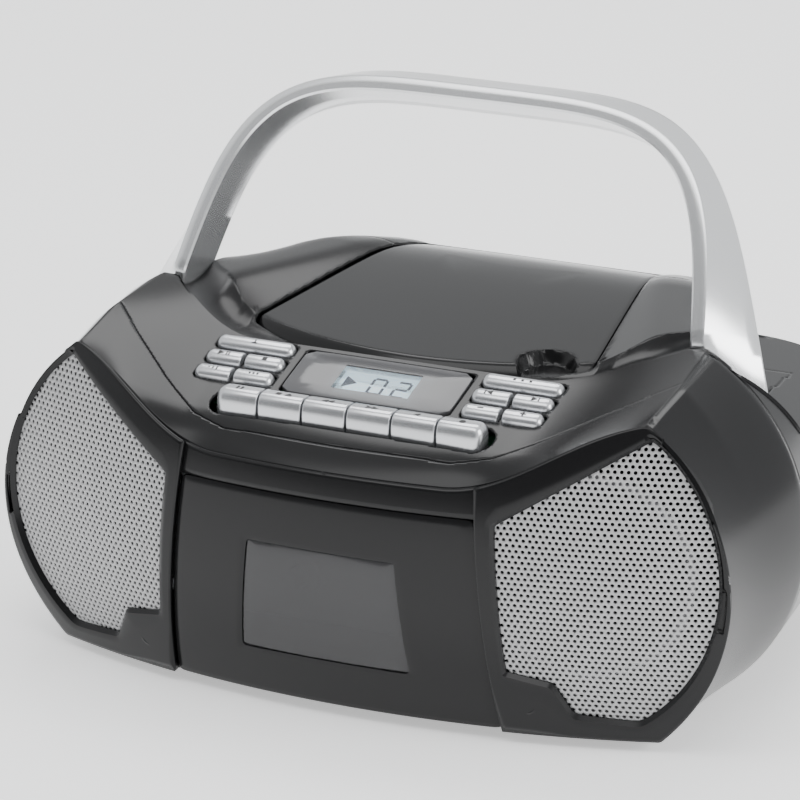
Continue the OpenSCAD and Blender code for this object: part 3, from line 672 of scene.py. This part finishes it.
grille = {"centre": (104.0, 64.0), "circle": (78.5, 65.0, 67.5), "thick": 1.2, "pitch": 2.32, "hole": 0.68,
          "sunk": 0.7}

def grilleInside(x, z, shrink=0.0):
    # the grille: a disc cut by straight edges, with a notch for the socket
    cx, cz, radius = grille["circle"]
    circle = radius - np.hypot(x - cx, z - cz)
    left = -sideOf(x, z, 67.0, 27.0, 62.4, 86.5)
    top = -sideOf(x, z, 62.4, 86.5, 115.0, 120.0)
    notch = np.maximum(sideOf(x, z, 67.0, 27.0, 84.5, 23.6), sideOf(x, z, 84.5, 23.6, 91.0, 11.0))
    low = sideOf(x, z, 91.0, 11.0, 121.0, 8.5)
    return softMin([circle, left, top, notch, low], 0.9) - shrink

def panelInside(x, z):
    # one half of the front, outside the door
    doorSide = x - (58.9 + (86.0 - z) * 0.0948)
    return np.minimum.reduce([lipZ(x) - z, bezelX(z) - x, z - 5.0, doorSide])

cx, cz = grille["centre"]
corners = [(113.1, 122.2), (57.9, 97.2), (66.6, 5.0), (122.6, 5.0)]
ringAngles = np.unique(np.concatenate([
    np.linspace(-np.pi, np.pi, 361)[:-1], [math.atan2(z - cz, x - cx) for x, z in corners]]))
grilleReach = reachOf(lambda x, z: grilleInside(x, z, 1.4), cx, cz, ringAngles)
panelReach = reachOf(panelInside, cx, cz, ringAngles)

def barrelPlate(mould, centre, angles, inner, outer, profile, side=1, mark=0):
    # rays from the centre; each row is (share from inner to outer, push, depth under the barrel)
    rowsX, rowsZ, rowsD = [], [], []
    for share, push, depth in profile:
        reach = (1 - share) * inner + share * outer + push
        rowsX.append(centre[0] + reach * np.cos(angles))
        rowsZ.append(centre[1] + reach * np.sin(angles))
        rowsD.append(np.full_like(angles, depth))
    x, z, d = np.array(rowsX), np.array(rowsZ), np.array(rowsD)
    mould.grid(side * x, barrelY(x, z, d), z, around=True, mark=mark)

for side in (-1, 1):
    barrelPlate(frontMould, (cx, cz), ringAngles, grilleReach, panelReach,
                [(0, 0, 4.0), (0, 0, 0.5), (0, 0.4, 0.1), (0, 0.9, 0.0)]
                + [(t, 0, 0.0) for t in (0.3, 0.5, 0.7, 0.85, 1.0)], side)
# the band between the door and the lip runs a little under both bezels
bandT = np.linspace(0.0, 1.0, 7)[:, None]
bandU = np.linspace(-1.0, 1.0, 121)[None, :]
bandHalf = 60.1 - (0.4 + bandT * 11.4) * 0.0948
bandX = bandU * bandHalf
bandZ = 86.4 + (lipZ(bandX) - 86.4) * bandT
frontMould.grid(bandX, barrelY(bandX, bandZ), bandZ)

def floorPlate(mould, stations, halfWidths, frontEdge, lift):
    # rows from side to side under the body
    u = np.linspace(-1.0, 1.0, 81)[None, :]
    x = u * halfWidths[:, None]
    y = np.maximum(stations[:, None], frontEdge(x))
    z = floorZ + lift(x, y)
    mould.grid(x, y, z)

def frontFloorEdge(x):
    # the floor starts at the bezels' foot, and behind the door between them
    return np.where(np.abs(x) > 67.2, barrelY(np.minimum(np.abs(x), 122.4), 5.0), -87.5)

floorRows = spaced([-98.5, -18.15], [1.2])
floorPlate(frontMould, floorRows, sideX(np.maximum(floorRows, body["bezelY"]), floorZ), frontFloorEdge,
           lambda x, y: 1.8 * np.clip(1.0 - (y - frontFloorEdge(x)) / 5.0, 0, 1) ** 2 * (np.abs(x) > 67.2))
frontMould.make("frontShell", "cabinet", [glossBlack], ["front_cabinet"], sharp=30.0,
                wall=2.0, heart=(0, -20, 60))

rearMould = Mould()
addSheet(rearMould, 3, 0.0)
levels = spaced([shelf["z"], 75.1, 64.9, 58.4, 11.8, floorZ], [2.4, 2.5, 2.2, 2.4, 1.1])
sideStations = spaced([-17.85, 4.0, 57.8], [1.0, 2.4])
over = spaced([1.0, 0.0], [0.1])[:-1, None]
crown = crownZ(sideStations)[None, :]
sideColumns = np.vstack([shelf["z"] + (crown - shelf["z"]) * over,
                         np.repeat(levels[:, None], len(sideStations), axis=1)])
for side in (-1, 1):
    wrapBelow(rearMould, side, sideStations[None, :], sideColumns)
cornerAngles = np.radians(spaced([7.0, 90.0], [2.6]))
cornerX, cornerY = cornerPoint(cornerAngles[None, :], levels[:, None])
for side in (-1, 1):
    rearMould.grid(side * cornerX, cornerY, levels[:, None] + 0.0 * cornerX)
rearXs = spaced([-80.0, -75.4, -59.1, -40.9, 75.4, 80.0], [1.6, 2.4, 2.4, 3.0, 1.6])
rearX, rearZ = np.meshgrid(rearXs, levels)
rearY = body["rearY"] - rearInset(rearZ)
midRearX, midRearZ = middle(rearX), middle(rearZ)
batteryHole = (np.abs(midRearX) < 75.4) & (midRearZ > 11.8) & (midRearZ < 58.4)
inletHole = (midRearX > -59.1) & (midRearX < -40.9) & (midRearZ > 64.9) & (midRearZ < 75.1)
rearMould.grid(rearX, rearY, rearZ, keep=~(batteryHole | inletHole))
halfY = np.concatenate([sideStations, cornerPoint(cornerAngles[1:], floorZ)[1]])
halfX = np.concatenate([sideX(sideStations, floorZ), cornerPoint(cornerAngles[1:], floorZ)[0]])
floorPlate(rearMould, halfY, halfX, lambda x: -200.0 + 0.0 * x, lambda x, y: 0.0 * x)
bay = {"halfWidth": 77.0, "frontY": 54.0, "low": 8.0, "high": 62.0}
rearMould.make("rearShell", "cabinet", [glossBlack], ["rear_cabinet"], sharp=30.0,
               wall=2.0, heart=(0, 30, 60))
bayMould = Mould()
bw, by, b0, b1 = bay["halfWidth"], bay["frontY"], bay["low"], bay["high"]
for low, high in [((-bw - 2, by - 2, b0), (bw + 2, by, b1)), ((-bw - 2, by, b0 - 2), (bw + 2, 107, b0)),
                  ((-bw - 2, by, b1), (bw + 2, 107, b1 + 2)), ((-bw - 2, by, b0), (-bw, 107, b1)),
                  ((bw, by, b0), (bw + 2, 107, b1))]:
    bayMould.block(low, high)
bayMould.make("batteryBay", "cabinet", [innerBlack])
print("stage 5: cabinet")

# grilles

sheetAngles = np.linspace(-np.pi, np.pi, 721)[:-1]
sheetReach = reachOf(lambda x, z: grilleInside(x, z, 1.6), cx, cz, sheetAngles)

def makeGrille(name, side, node):
    # a sheet of six-sided cells, each with a round hole, laid on the barrel
    pitch = grille["pitch"]
    cellRadius = pitch / math.sqrt(3.0)
    i, j = np.meshgrid(np.arange(-30, 31), np.arange(-36, 37))
    centreX = (grille["centre"][0] + pitch * (i + 0.5 * (j % 2))).ravel()
    centreZ = (grille["centre"][1] + pitch * 0.8660254 * j).ravel()
    room = grilleInside(centreX, centreZ, 1.9)
    centreX, centreZ, room = [a[room > -1.2 * pitch] for a in (centreX, centreZ, room)]
    turnOf = np.arange(12) * math.pi / 6 + math.pi / 6
    outReach = cellRadius * np.where(np.arange(12) % 2 == 0, 1.0, 0.8660254)
    outX = centreX[:, None] + outReach * np.cos(turnOf)
    outZ = centreZ[:, None] + outReach * np.sin(turnOf)
    # corners past the edge slide back onto it along a ray from the middle
    away = np.hypot(outX - cx, outZ - cz)
    bearing = np.arctan2(outZ - cz, outX - cx)
    edge = np.interp(bearing, np.append(sheetAngles, sheetAngles[:1] + 2 * np.pi),
                     np.append(sheetReach, sheetReach[:1]))
    outside = away > edge
    touches = (~outside).any(axis=1)
    shrink = np.where(outside, edge / np.maximum(away, 1e-6), 1.0)
    outX, outZ = cx + (outX - cx) * shrink, cz + (outZ - cz) * shrink
    punched = touches & (room > grille["hole"] + 0.25)
    inX = centreX[:, None] + grille["hole"] * np.cos(turnOf)
    inZ = centreZ[:, None] + grille["hole"] * np.sin(turnOf)
    mould = Mould()

    def place(x, z):
        return np.stack([side * x, barrelY(x, z, grille["sunk"]), z], axis=-1).reshape(-1, 3)

    count = int(punched.sum())
    points = np.concatenate([place(outX[punched], outZ[punched]), place(inX[punched], inZ[punched])])
    base = np.arange(count)[:, None] * 12
    step, following = np.arange(12)[None, :], (np.arange(12)[None, :] + 1) % 12
    rings = np.stack([base + step, base + following, base + following + 12 * count, base + step + 12 * count],
                     axis=-1).reshape(-1, 4)
    mould.add(points, rings.tolist())
    plain = touches & ~punched
    points = place(outX[plain], outZ[plain])
    mould.add(points, np.arange(len(points)).reshape(-1, 12).tolist())
    mould.make(name, "cabinet", [grilleSteel], [node], wall=grille["thick"],
               heart=(side * 80, 0, 60))

makeGrille("rightGrilleSheet", 1, "right_grille")
makeGrille("leftGrilleSheet", -1, "left_grille")
print("stage 6: grilles")

# cassette door and its window

door = {"top": 86.0, "bottom": 4.7, "halfTop": 58.65, "flare": 0.0945, "thick": 3.0, "centre": (0.0, 46.0)}
window = {"top": 67.0, "bottom": 24.0, "halfTop": 29.5, "flare": 0.1, "sunk": 0.5, "rear": 2.3}

def doorInside(x, z):
    # the door's outline, shaped in the same way
    flank = door["halfTop"] + (door["top"] - z) * door["flare"] - np.abs(x)
    return softMin([door["top"] - z, z - door["bottom"], flank], 1.0)

def windowInside(x, z):
    # the pane's outline: level above and below, flanks that spread downwards
    flank = window["halfTop"] + (window["top"] - z) * window["flare"] - np.abs(x)
    return softMin([window["top"] - z, z - window["bottom"], flank], 0.6)

doorAngles = np.unique(np.concatenate([np.linspace(-np.pi, np.pi, 361)[:-1]] + [
    np.array([math.atan2(z - 46.0, sign * x) + d for d in (-0.012, 0.0, 0.012)])
    for x, z in ((58.5, 86), (66.2, 4.7), (29.5, 67), (33.8, 24)) for sign in (-1, 1)]))
doorReach = reachOf(doorInside, 0.0, 46.0, doorAngles)
windowReach = reachOf(windowInside, 0.0, 46.0, doorAngles)
doorMould = Mould()
doorProfile = ([(0, 0, 3.0), (0, 0, 0.5), (0, 0.15, 0.15), (0, 0.5, 0.0)]
               + [(t, 0, 0.0) for t in (0.1, 0.25, 0.4, 0.55, 0.7, 0.85)]
               + [(1, -0.8, 0.0), (1, -0.3, 0.12), (1, -0.05, 0.5), (1, 0, 0.9), (1, 0, door["thick"])]
               + [(t, 0, door["thick"]) for t in (0.7, 0.4, 0.0)])
barrelPlate(doorMould, door["centre"], doorAngles, windowReach, doorReach, doorProfile)
for side in (-1, 1):
    doorMould.block((62.6 * side - 1.6, -94, 6), (62.6 * side + 1.6, -88, 12.5))
doorMould.make("deckDoor", "door", [glossBlack], ["cassette_door"], sharp=35.0)
windowMould = Mould()
windowProfile = ([(t, 0, window["sunk"]) for t in (0.0, 0.25, 0.5, 0.75)]
                 + [(1, -0.5, window["sunk"]), (1, -0.12, 0.62), (1, -0.1, window["rear"])]
                 + [(t, 0, window["rear"]) for t in (0.75, 0.5, 0.25, 0.0)])
barrelPlate(windowMould, door["centre"], doorAngles, 0.0 * windowReach, windowReach, windowProfile)
windowMould.make("deckWindow", "door", [windowSmoke], ["door_window"], sharp=35.0)

# sockets: a rounded collar with a stepped hole
socket = {"x": 76.5, "z": 17.5, "collar": 4.7, "hole": 1.8, "deep": 14.0}
for name, side, node in (("phonesSocket", -1, "headphone_jack"), ("auxSocket", 1, "aux_jack")):
    socketMould = Mould()
    spin = np.linspace(0, 2 * np.pi, 41)[:-1]
    face = float(barrelY(np.array(socket["x"]), np.array(socket["z"])))
    profile = [(0.0, socket["deep"]), (socket["hole"], socket["deep"]), (socket["hole"], 0.9), (2.1, 0.4),
               (3.1, 0.3), (3.3, -0.6), (3.7, -1.0), (4.2, -0.8), (4.6, -0.2), (socket["collar"], 1.4),
               (socket["collar"], 6.0), (0.0, 15.0)]
    reach = np.array([p[0] for p in profile])[:, None]
    depth = np.array([p[1] for p in profile])[:, None]
    socketMould.grid(side * (socket["x"] + reach * np.cos(spin)), face + depth + 0 * spin,
                     socket["z"] + reach * np.sin(spin), around=True)
    socketMould.make(name, "cabinet", [glossBlack], [node], sharp=50.0)
print("stage 7: cassette door and sockets")

# handle: an arch whose band widens to the rear

handle = {"lean": 28.0, "pivot": (-6.0, 110.0), "front": 20.0, "depth": 21.0, "reach": 108.5, "foot": -8.0,
          "innerHalf": 106.5, "frontHalf": 111.0, "backHalf": 132.5}

def arch(turn, half, tilt, top, power, low=handle["foot"]):
    # u climbs as the sine of the turn; the half width is a tilted line closed by a superellipse
    u = low + (top - low) * np.sin(np.minimum(turn, np.pi - turn))
    x = (half - tilt * u) * np.maximum(0.0, 1.0 - np.maximum(0.0, u / top) ** power) ** (1.0 / power)
    return np.where(turn > np.pi / 2, -x, x), u

lean = math.radians(handle["lean"])
ends = np.radians(spaced([0.0, 12.0, 60.0, 90.0], [2.0, 2.0, 1.0]))
turns = np.concatenate([ends, (np.pi - ends[::-1])[1:]])
inner = arch(turns, handle["innerHalf"], 0.16, handle["reach"] - 13.3, 4.6)
frontEdge = arch(turns, handle["frontHalf"], 0.13, handle["reach"] - 7.4, 4.2)
backEdge = arch(turns, handle["backHalf"], 0.40, handle["reach"], 5.0)
frontN = np.minimum(handle["front"], 11.0 + 0.53 * np.maximum(inner[1], handle["foot"]))
backN = handle["front"] - handle["depth"]

def bandPoint(across, deep):
    # across: 0 is the inner edge, 1 the outer; deep: 0 is the front, 1 the rear
    fx = inner[0] + (frontEdge[0] - inner[0]) * across
    fu = inner[1] + (frontEdge[1] - inner[1]) * across
    bx = inner[0] + (backEdge[0] - inner[0]) * across
    bu = inner[1] + (backEdge[1] - inner[1]) * across
    n = frontN + (backN - frontN) * deep
    return fx + (bx - fx) * deep, fu + (bu - fu) * deep, n

section = [(0.0, 0.03), (0.14, 0.0), (0.5, 0.0), (0.86, 0.0), (1.0, 0.022), (1.0, 0.25), (1.0, 0.5),
           (1.0, 0.75), (1.0, 0.95), (0.97, 1.0), (0.5, 1.0), (0.04, 1.0), (0.0, 0.95), (0.0, 0.5)]
bandRows = [bandPoint(across, deep) for across, deep in section]
bandX, bandU, bandN = [np.array([row[k] for row in bandRows]) for k in range(3)]

def archPlace(x, u, n):
    # turns the arch's own axes by its lean, about its pins
    y = handle["pivot"][0] + u * math.sin(lean) - n * math.cos(lean)
    z = handle["pivot"][1] + u * math.cos(lean) + n * math.sin(lean)
    return x, y, z

handleMould = Mould()
gx, gy, gz = archPlace(bandX, bandU, bandN)
handleMould.grid(gx.T, gy.T, gz.T, around=True)
for end in (0, -1):
    rim = np.stack([bandX[:, end], bandU[:, end], bandN[:, end]], axis=-1)
    heartPoint = rim.mean(axis=0)
    layers = np.array([heartPoint + (rim - heartPoint) * s + np.array([0.0, -d, 0.0])
                       for s, d in ((1.0, 0.0), (0.93, 1.2), (0.75, 2.2), (0.4, 2.8), (0.0, 2.9))])
    capX, capY, capZ = archPlace(layers[..., 0], layers[..., 1], layers[..., 2])
    handleMould.grid(capX, capY, capZ, around=True)
handleMould.make("carryHandle", "handle", [silverPaint], ["handle"], sharp=28.0)

pin = {"radius": 3.0, "innerX": 97.0, "outerX": 107.5}
pinMould = Mould()
pinTurn = np.linspace(0, 2 * np.pi, 33)[:-1]
for side in (-1, 1):
    pinR = np.array([0.0, pin["radius"], pin["radius"], 0.0])[:, None]
    pinX = np.array([pin["innerX"], pin["innerX"], pin["outerX"], pin["outerX"]])[:, None] * side
    pinMould.grid(pinX + 0 * pinTurn, handle["pivot"][0] + pinR * np.cos(pinTurn),
                  handle["pivot"][1] + pinR * np.sin(pinTurn), around=True)
pinMould.make("handlePins", "handle", [plainSteel])
print("stage 8: handle")

# disc lid

lidAngles = np.linspace(-np.pi, np.pi, 481)[:-1]
lidCentre = (0.0, 20.0)   # rays to the outline start here
lidReach = reachOf(lambda x, y: -lidField(x, y), lidCentre[0], lidCentre[1], lidAngles)
scoop = {"x": 52.0, "y": -26.0, "radius": 11.5, "deep": 5.0}

def lidZ(x, y):
    # the crowned panel, bent down along its front edge, with a scoop for a finger
    front = np.hypot(x, y - disc["frontY"] - disc["frontRadius"]) - (disc["frontRadius"] - 3.6)
    bevel = 1.25 * softMin([-front, 0.0 * front], 0.35)
    hollow = scoop["deep"] * smoothStep((scoop["radius"] - np.hypot(x - scoop["x"], y - scoop["y"])) / 2.2)
    return lidTopZ(x, y) + bevel - hollow

lidMould = Mould()
lidRows = []
lidThick = disc["thick"]
lidProfile = ([(t, 0, 0.0) for t in (0.0, 0.1, 0.2, 0.3, 0.42)]
              + [(1, -d, 0.0) for d in np.arange(34.0, 1.4, -1.0)]
              + [(1, -0.9, 0.1), (1, -0.4, 0.35), (1, -0.1, 0.8), (1, 0, 1.3), (1, 0, lidThick)]
              + [(1, -2.0, lidThick)] + [(t, 0, lidThick) for t in (0.9, 0.8, 0.65, 0.5, 0.35, 0.2, 0.0)])
for share, push, drop in lidProfile:
    reach = np.maximum(0.0, share * lidReach + push)
    x = lidCentre[0] + reach * np.cos(lidAngles)
    y = lidCentre[1] + reach * np.sin(lidAngles)
    lidRows.append((x, y, lidZ(x, y) - drop))
lidX, lidY, lidZs = [np.array([row[k] for row in lidRows]) for k in range(3)]
lidMould.grid(lidX, lidY, lidZs, around=True)
for side in (-1, 1):
    lidMould.block((48 * side - 2, 85.6, 115.6), (48 * side + 2, 90, 120.2))   # hinge lug
lidMould.make("discLid", "lid", [lidBlack], ["cd_lid"], sharp=40.0)
print("stage 9: lid")

# piano keys and buttons

pianoKeys = {"width": 17.2, "pitch": 17.9, "front": -88.0, "back": -77.0, "top": 115.0,
             "shaft": (-60.0, 96.5), "endRound": 3.6,
             "nodes": ("pause_key", "stop_eject_key", "rewind_key", "fast_forward_key", "play_key",
                       "record_key")}

def barBetween(mould, x0, x1, endA, endB, halfDeep, halfTall, centre, onto, power, low):
    # a bar along x whose superellipse section shrinks into a round end; low cuts its underside flat
    def inset(d, r):
        return r - np.sqrt(np.maximum(0.0, r * r - np.maximum(0.0, r - d) ** 2))

    steps = np.concatenate([x0 + endA * (1 - np.cos(np.linspace(0, np.pi / 2, 7))),
                            x1 - endB * (1 - np.sin(np.linspace(0, np.pi / 2, 7)))])
    shrink = inset(steps - x0, endA) + inset(x1 - steps, endB)
    angle = np.linspace(0, 2 * np.pi, 49)[:-1]
    c, s = np.cos(angle), np.sin(angle)
    v = np.sign(c) * np.abs(c) ** (2 / power)
    n = np.sign(s) * np.abs(s) ** (2 / power)
    vv = v[None, :] * np.maximum(0.05, halfDeep - shrink[:, None])
    nn = n[None, :] * np.maximum(0.05, halfTall - shrink[:, None])
    nn = np.maximum(nn, low + 0 * nn)
    xx = steps[:, None] + 0 * vv
    x, y, z = onto(xx, vv + centre[0], nn + centre[1])
    mould.grid(x, y, z, around=True)
    mould.lid(x[0], y[0], z[0])
    mould.lid(x[-1], y[-1], z[-1])

def dot(radius, x=0.0, count=20):
    turn = np.linspace(0, 2 * np.pi, count + 1)[:-1]
    return [(x + radius * math.cos(a), radius * math.sin(a)) for a in turn]

def arrow(direction, x, size=1.0):
    # a triangle that points along x
    tip = x + direction * 1.5 * size
    base = x - direction * 0.9 * size
    points = [(base, -1.15 * size), (tip, 0.0), (base, 1.15 * size)]
    return points if direction > 0 else points[::-1]

def slab(x, y, width, height):
    # a rectangle about x, y
    return [(x - width / 2, y - height / 2), (x + width / 2, y - height / 2),
            (x + width / 2, y + height / 2), (x - width / 2, y + height / 2)]

def bar(x, width, height):
    return slab(x, 0.0, width, height)

symbols = {
    "pause_key": [bar(-0.9, 0.8, 2.4), bar(0.9, 0.8, 2.4)],
    "stop_eject_key": [bar(-2.0, 2.0, 2.0), [(0.9, -0.3), (3.5, -0.3), (2.2, 1.2)],
                       slab(2.2, -0.95, 2.6, 0.5)],
    "rewind_key": [arrow(-1, -0.9), arrow(-1, 1.5)],
    "fast_forward_key": [arrow(1, -1.5), arrow(1, 0.9)],
    "play_key": [arrow(-1, 0.0)],
    "record_key": [dot(1.25)],
    "power_button": [bar(0, 0.5, 1.6), slab(0, -1.0, 2.2, 0.4)],
    "play_pause_button": [arrow(1, -1.5), bar(1.0, 0.5, 2.0), bar(2.0, 0.5, 2.0)],
    "stop_button": [bar(0, 1.9, 1.9)],
    "program_button": [bar(-1.6, 0.5, 0.5), bar(0, 0.5, 1.3), bar(1.6, 0.5, 2.0)],
    "mode_button": [dot(0.5, -1.6), dot(0.5), dot(0.5, 1.6)],
    "function_button": [bar(-3.2, 1.0, 1.0), bar(0, 1.0, 1.0), bar(3.2, 1.0, 1.0)],
    "skip_back_button": [bar(-2.2, 0.5, 2.0), arrow(-1, -0.2)],
    "skip_forward_button": [arrow(1, 0.2), bar(2.2, 0.5, 2.0)],
    "volume_down_button": [bar(0, 2.4, 0.6)],
    "volume_up_button": [bar(0, 2.4, 0.6), bar(0, 0.6, 2.4)]}

def capName(node):
    return node.replace("_", " ").title().replace(" ", "") + "Cap"

for number, node in enumerate(pianoKeys["nodes"]):
    x = (number - 2.5) * pianoKeys["pitch"]
    x0, x1 = x - pianoKeys["width"] / 2, x + pianoKeys["width"] / 2
    keyMould = Mould()
    halfDeep = (pianoKeys["back"] - pianoKeys["front"]) / 2
    roundA = pianoKeys["endRound"] if number == 0 else 0.7
    roundB = pianoKeys["endRound"] if number == 5 else 0.7
    barBetween(keyMould, x0, x1, roundA, roundB, halfDeep, 9.0,
               (pianoKeys["front"] + halfDeep, pianoKeys["top"] - 9.0), lambda a, b, c: (a, b, c), 3.2, -6.0)
    shaftY, shaftZ = pianoKeys["shaft"]
    keyMould.block((x - 3, -84, 95), (x + 3, shaftY, 100))   # the arm to the shaft
    stemTurn = np.linspace(0, 2 * np.pi, 25)[:-1]
    sleeve = np.array([1.6, 4.0, 4.0, 1.6, 1.6])[:, None]
    sleeveX = np.array([-3.0, -3.0, 3.0, 3.0, -3.0])[:, None] + x
    keyMould.grid(sleeveX + 0 * stemTurn, shaftY + sleeve * np.cos(stemTurn),
                  shaftZ + sleeve * np.sin(stemTurn), around=True)
    for shape in symbols[node]:
        place = Matrix.Translation((x, -83.4, 114.92)) @ Matrix.Rotation(math.radians(6), 4, "X")
        keyMould.prism(shape, place, 0.14, mark=1)
    keyMould.make(capName(node), node, [keySilver, symbolInk], [node], sharp=40.0)

for node, (bx, row, length) in buttonPlaces.items():
    capMould = Mould()
    v, drop, radius = controls["rows"][row], controls["capDrop"], controls["capRadius"]
    single = length > 20
    leftOfPair = (abs(bx) > 55) == (bx < 0)
    roundA = 2.8 if single or leftOfPair else 0.6
    roundB = 2.8 if single or not leftOfPair else 0.6
    barBetween(capMould, bx - length / 2, bx + length / 2, roundA, roundB, radius, radius,
               (v, drop), onSlope, 2.25, -2.2)
    capMould.prism(bar(0, length - 4, 4), Matrix.Translation(onSlope(bx, v, -6.4))
                   @ Matrix.Rotation(controls["slope"], 4, "X"), 5.0)
    for shape in symbols[node]:
        place = (Matrix.Translation(onSlope(bx, v, drop + radius - 0.16))
                 @ Matrix.Rotation(controls["slope"], 4, "X"))
        capMould.prism(shape, place, 0.24, mark=1)
    capMould.make(capName(node), node, [keySilver, symbolInk], [node], sharp=40.0)
print("stage 10: keys and buttons")

# display

lens = {"v": -15.0, "halfWide": 34.0, "halfTall": 13.0, "power": 14.0, "under": -1.6}
panel = {"wide": 40.0, "tall": 18.0, "thick": 6.0, "under": -7.6}
lensMould = Mould()
lensTurn = np.linspace(0, 2 * np.pi, 65)[:-1]

def lensOutline(shrink):
    # a superellipse, drawn in by shrink; the middle point where shrink is as large as the lens
    if shrink >= lens["halfTall"]:
        return 0.0 * lensTurn, 0.0 * lensTurn
    c, s, power = np.cos(lensTurn), np.sin(lensTurn), lens["power"]
    wide = (np.abs(c) / (lens["halfWide"] - shrink)) ** power
    tall = (np.abs(s) / (lens["halfTall"] - shrink)) ** power
    reach = (wide + tall) ** (-1 / power)
    return reach * c, reach * s

lensRows = []
lensProfile = ((34.0, 2.0), (8.0, 2.0), (0.5, 2.0), (0.12, 1.85), (0.0, 1.5), (0.0, 0.0), (34.0, 0.0))
for shrink, n in lensProfile:
    ox, oy = lensOutline(shrink)
    spot = onSlope(ox, lens["v"] + oy, n + lens["under"])
    lensRows.append([np.broadcast_to(a, lensTurn.shape) for a in spot])
lensMould.grid(*[np.array([row[k] for row in lensRows]) for k in range(3)], around=True)
lensMould.make("displayLens", "cabinet", [glassSmoke], ["display_lens"], sharp=40.0)

# the lens is masked grey but for a clear window over the digits
clear = {"left": -15.5, "right": 15.5, "low": -22.2, "high": -7.8, "mask": 0.94, "window": 0.12}
lensTree = glassSmoke.node_tree
lensStart = Wire(lensTree, None)
lensAcross = lensStart.node("ShaderNodeSeparateXYZ",
                            inputs={"Vector": lensStart.node("ShaderNodeTexCoord", out=3)}, out=0)
lensAlong = Wire(lensTree, lensAcross.socket.node.outputs[1])
maskOn = clear["mask"] - (clear["mask"] - clear["window"]) * (
    lensAcross.sums("GREATER_THAN", lensAcross, clear["left"] / 1000)
    * lensAcross.sums("LESS_THAN", lensAcross, clear["right"] / 1000)
    * lensAcross.sums("GREATER_THAN", lensAlong, onSlope(0, clear["low"], 0)[1] / 1000)
    * lensAcross.sums("LESS_THAN", lensAlong, onSlope(0, clear["high"], 0)[1] / 1000))
lensTree.links.new(maskOn.socket, lensTree.nodes["Principled BSDF"].inputs["Alpha"])

lcdMould = Mould()
tilt = Matrix.Rotation(controls["slope"], 4, "X")
lcdMould.prism(bar(0, panel["wide"], panel["tall"]),
               Matrix.Translation(onSlope(0, lens["v"], panel["under"])) @ tilt, panel["thick"])
lcdFace = Matrix.Translation(onSlope(0, lens["v"], panel["under"] + panel["thick"] - 0.02)) @ tilt
digitLines = {0: "abcdef", 2: "abged"}
segments = {"a": (0, 4.4, 4.6, 1.1), "d": (0, -4.4, 4.6, 1.1), "g": (0, 0, 4.6, 1.1),
            "b": (2.6, 2.3, 1.1, 3.6), "c": (2.6, -2.3, 1.1, 3.6),
            "f": (-2.6, 2.3, 1.1, 3.6), "e": (-2.6, -2.3, 1.1, 3.6)}
lcdMould.prism([(-13.6, -3.4), (-8.4, 0.0), (-13.6, 3.4)], lcdFace, 0.06, mark=1)
for digit, offset in ((0, 0.0), (2, 9.6)):
    for letter in digitLines[digit]:
        sx, sy, sw, sh = segments[letter]
        lcdMould.prism(slab(offset + sx, sy - 0.4, sw, sh), lcdFace, 0.06, mark=1)
lcdMould.make("displayPanel", "cabinet", [lcdBlue, lcdInk], ["lcd_module"], sharp=30.0)
print("stage 11: display")

low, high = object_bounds()
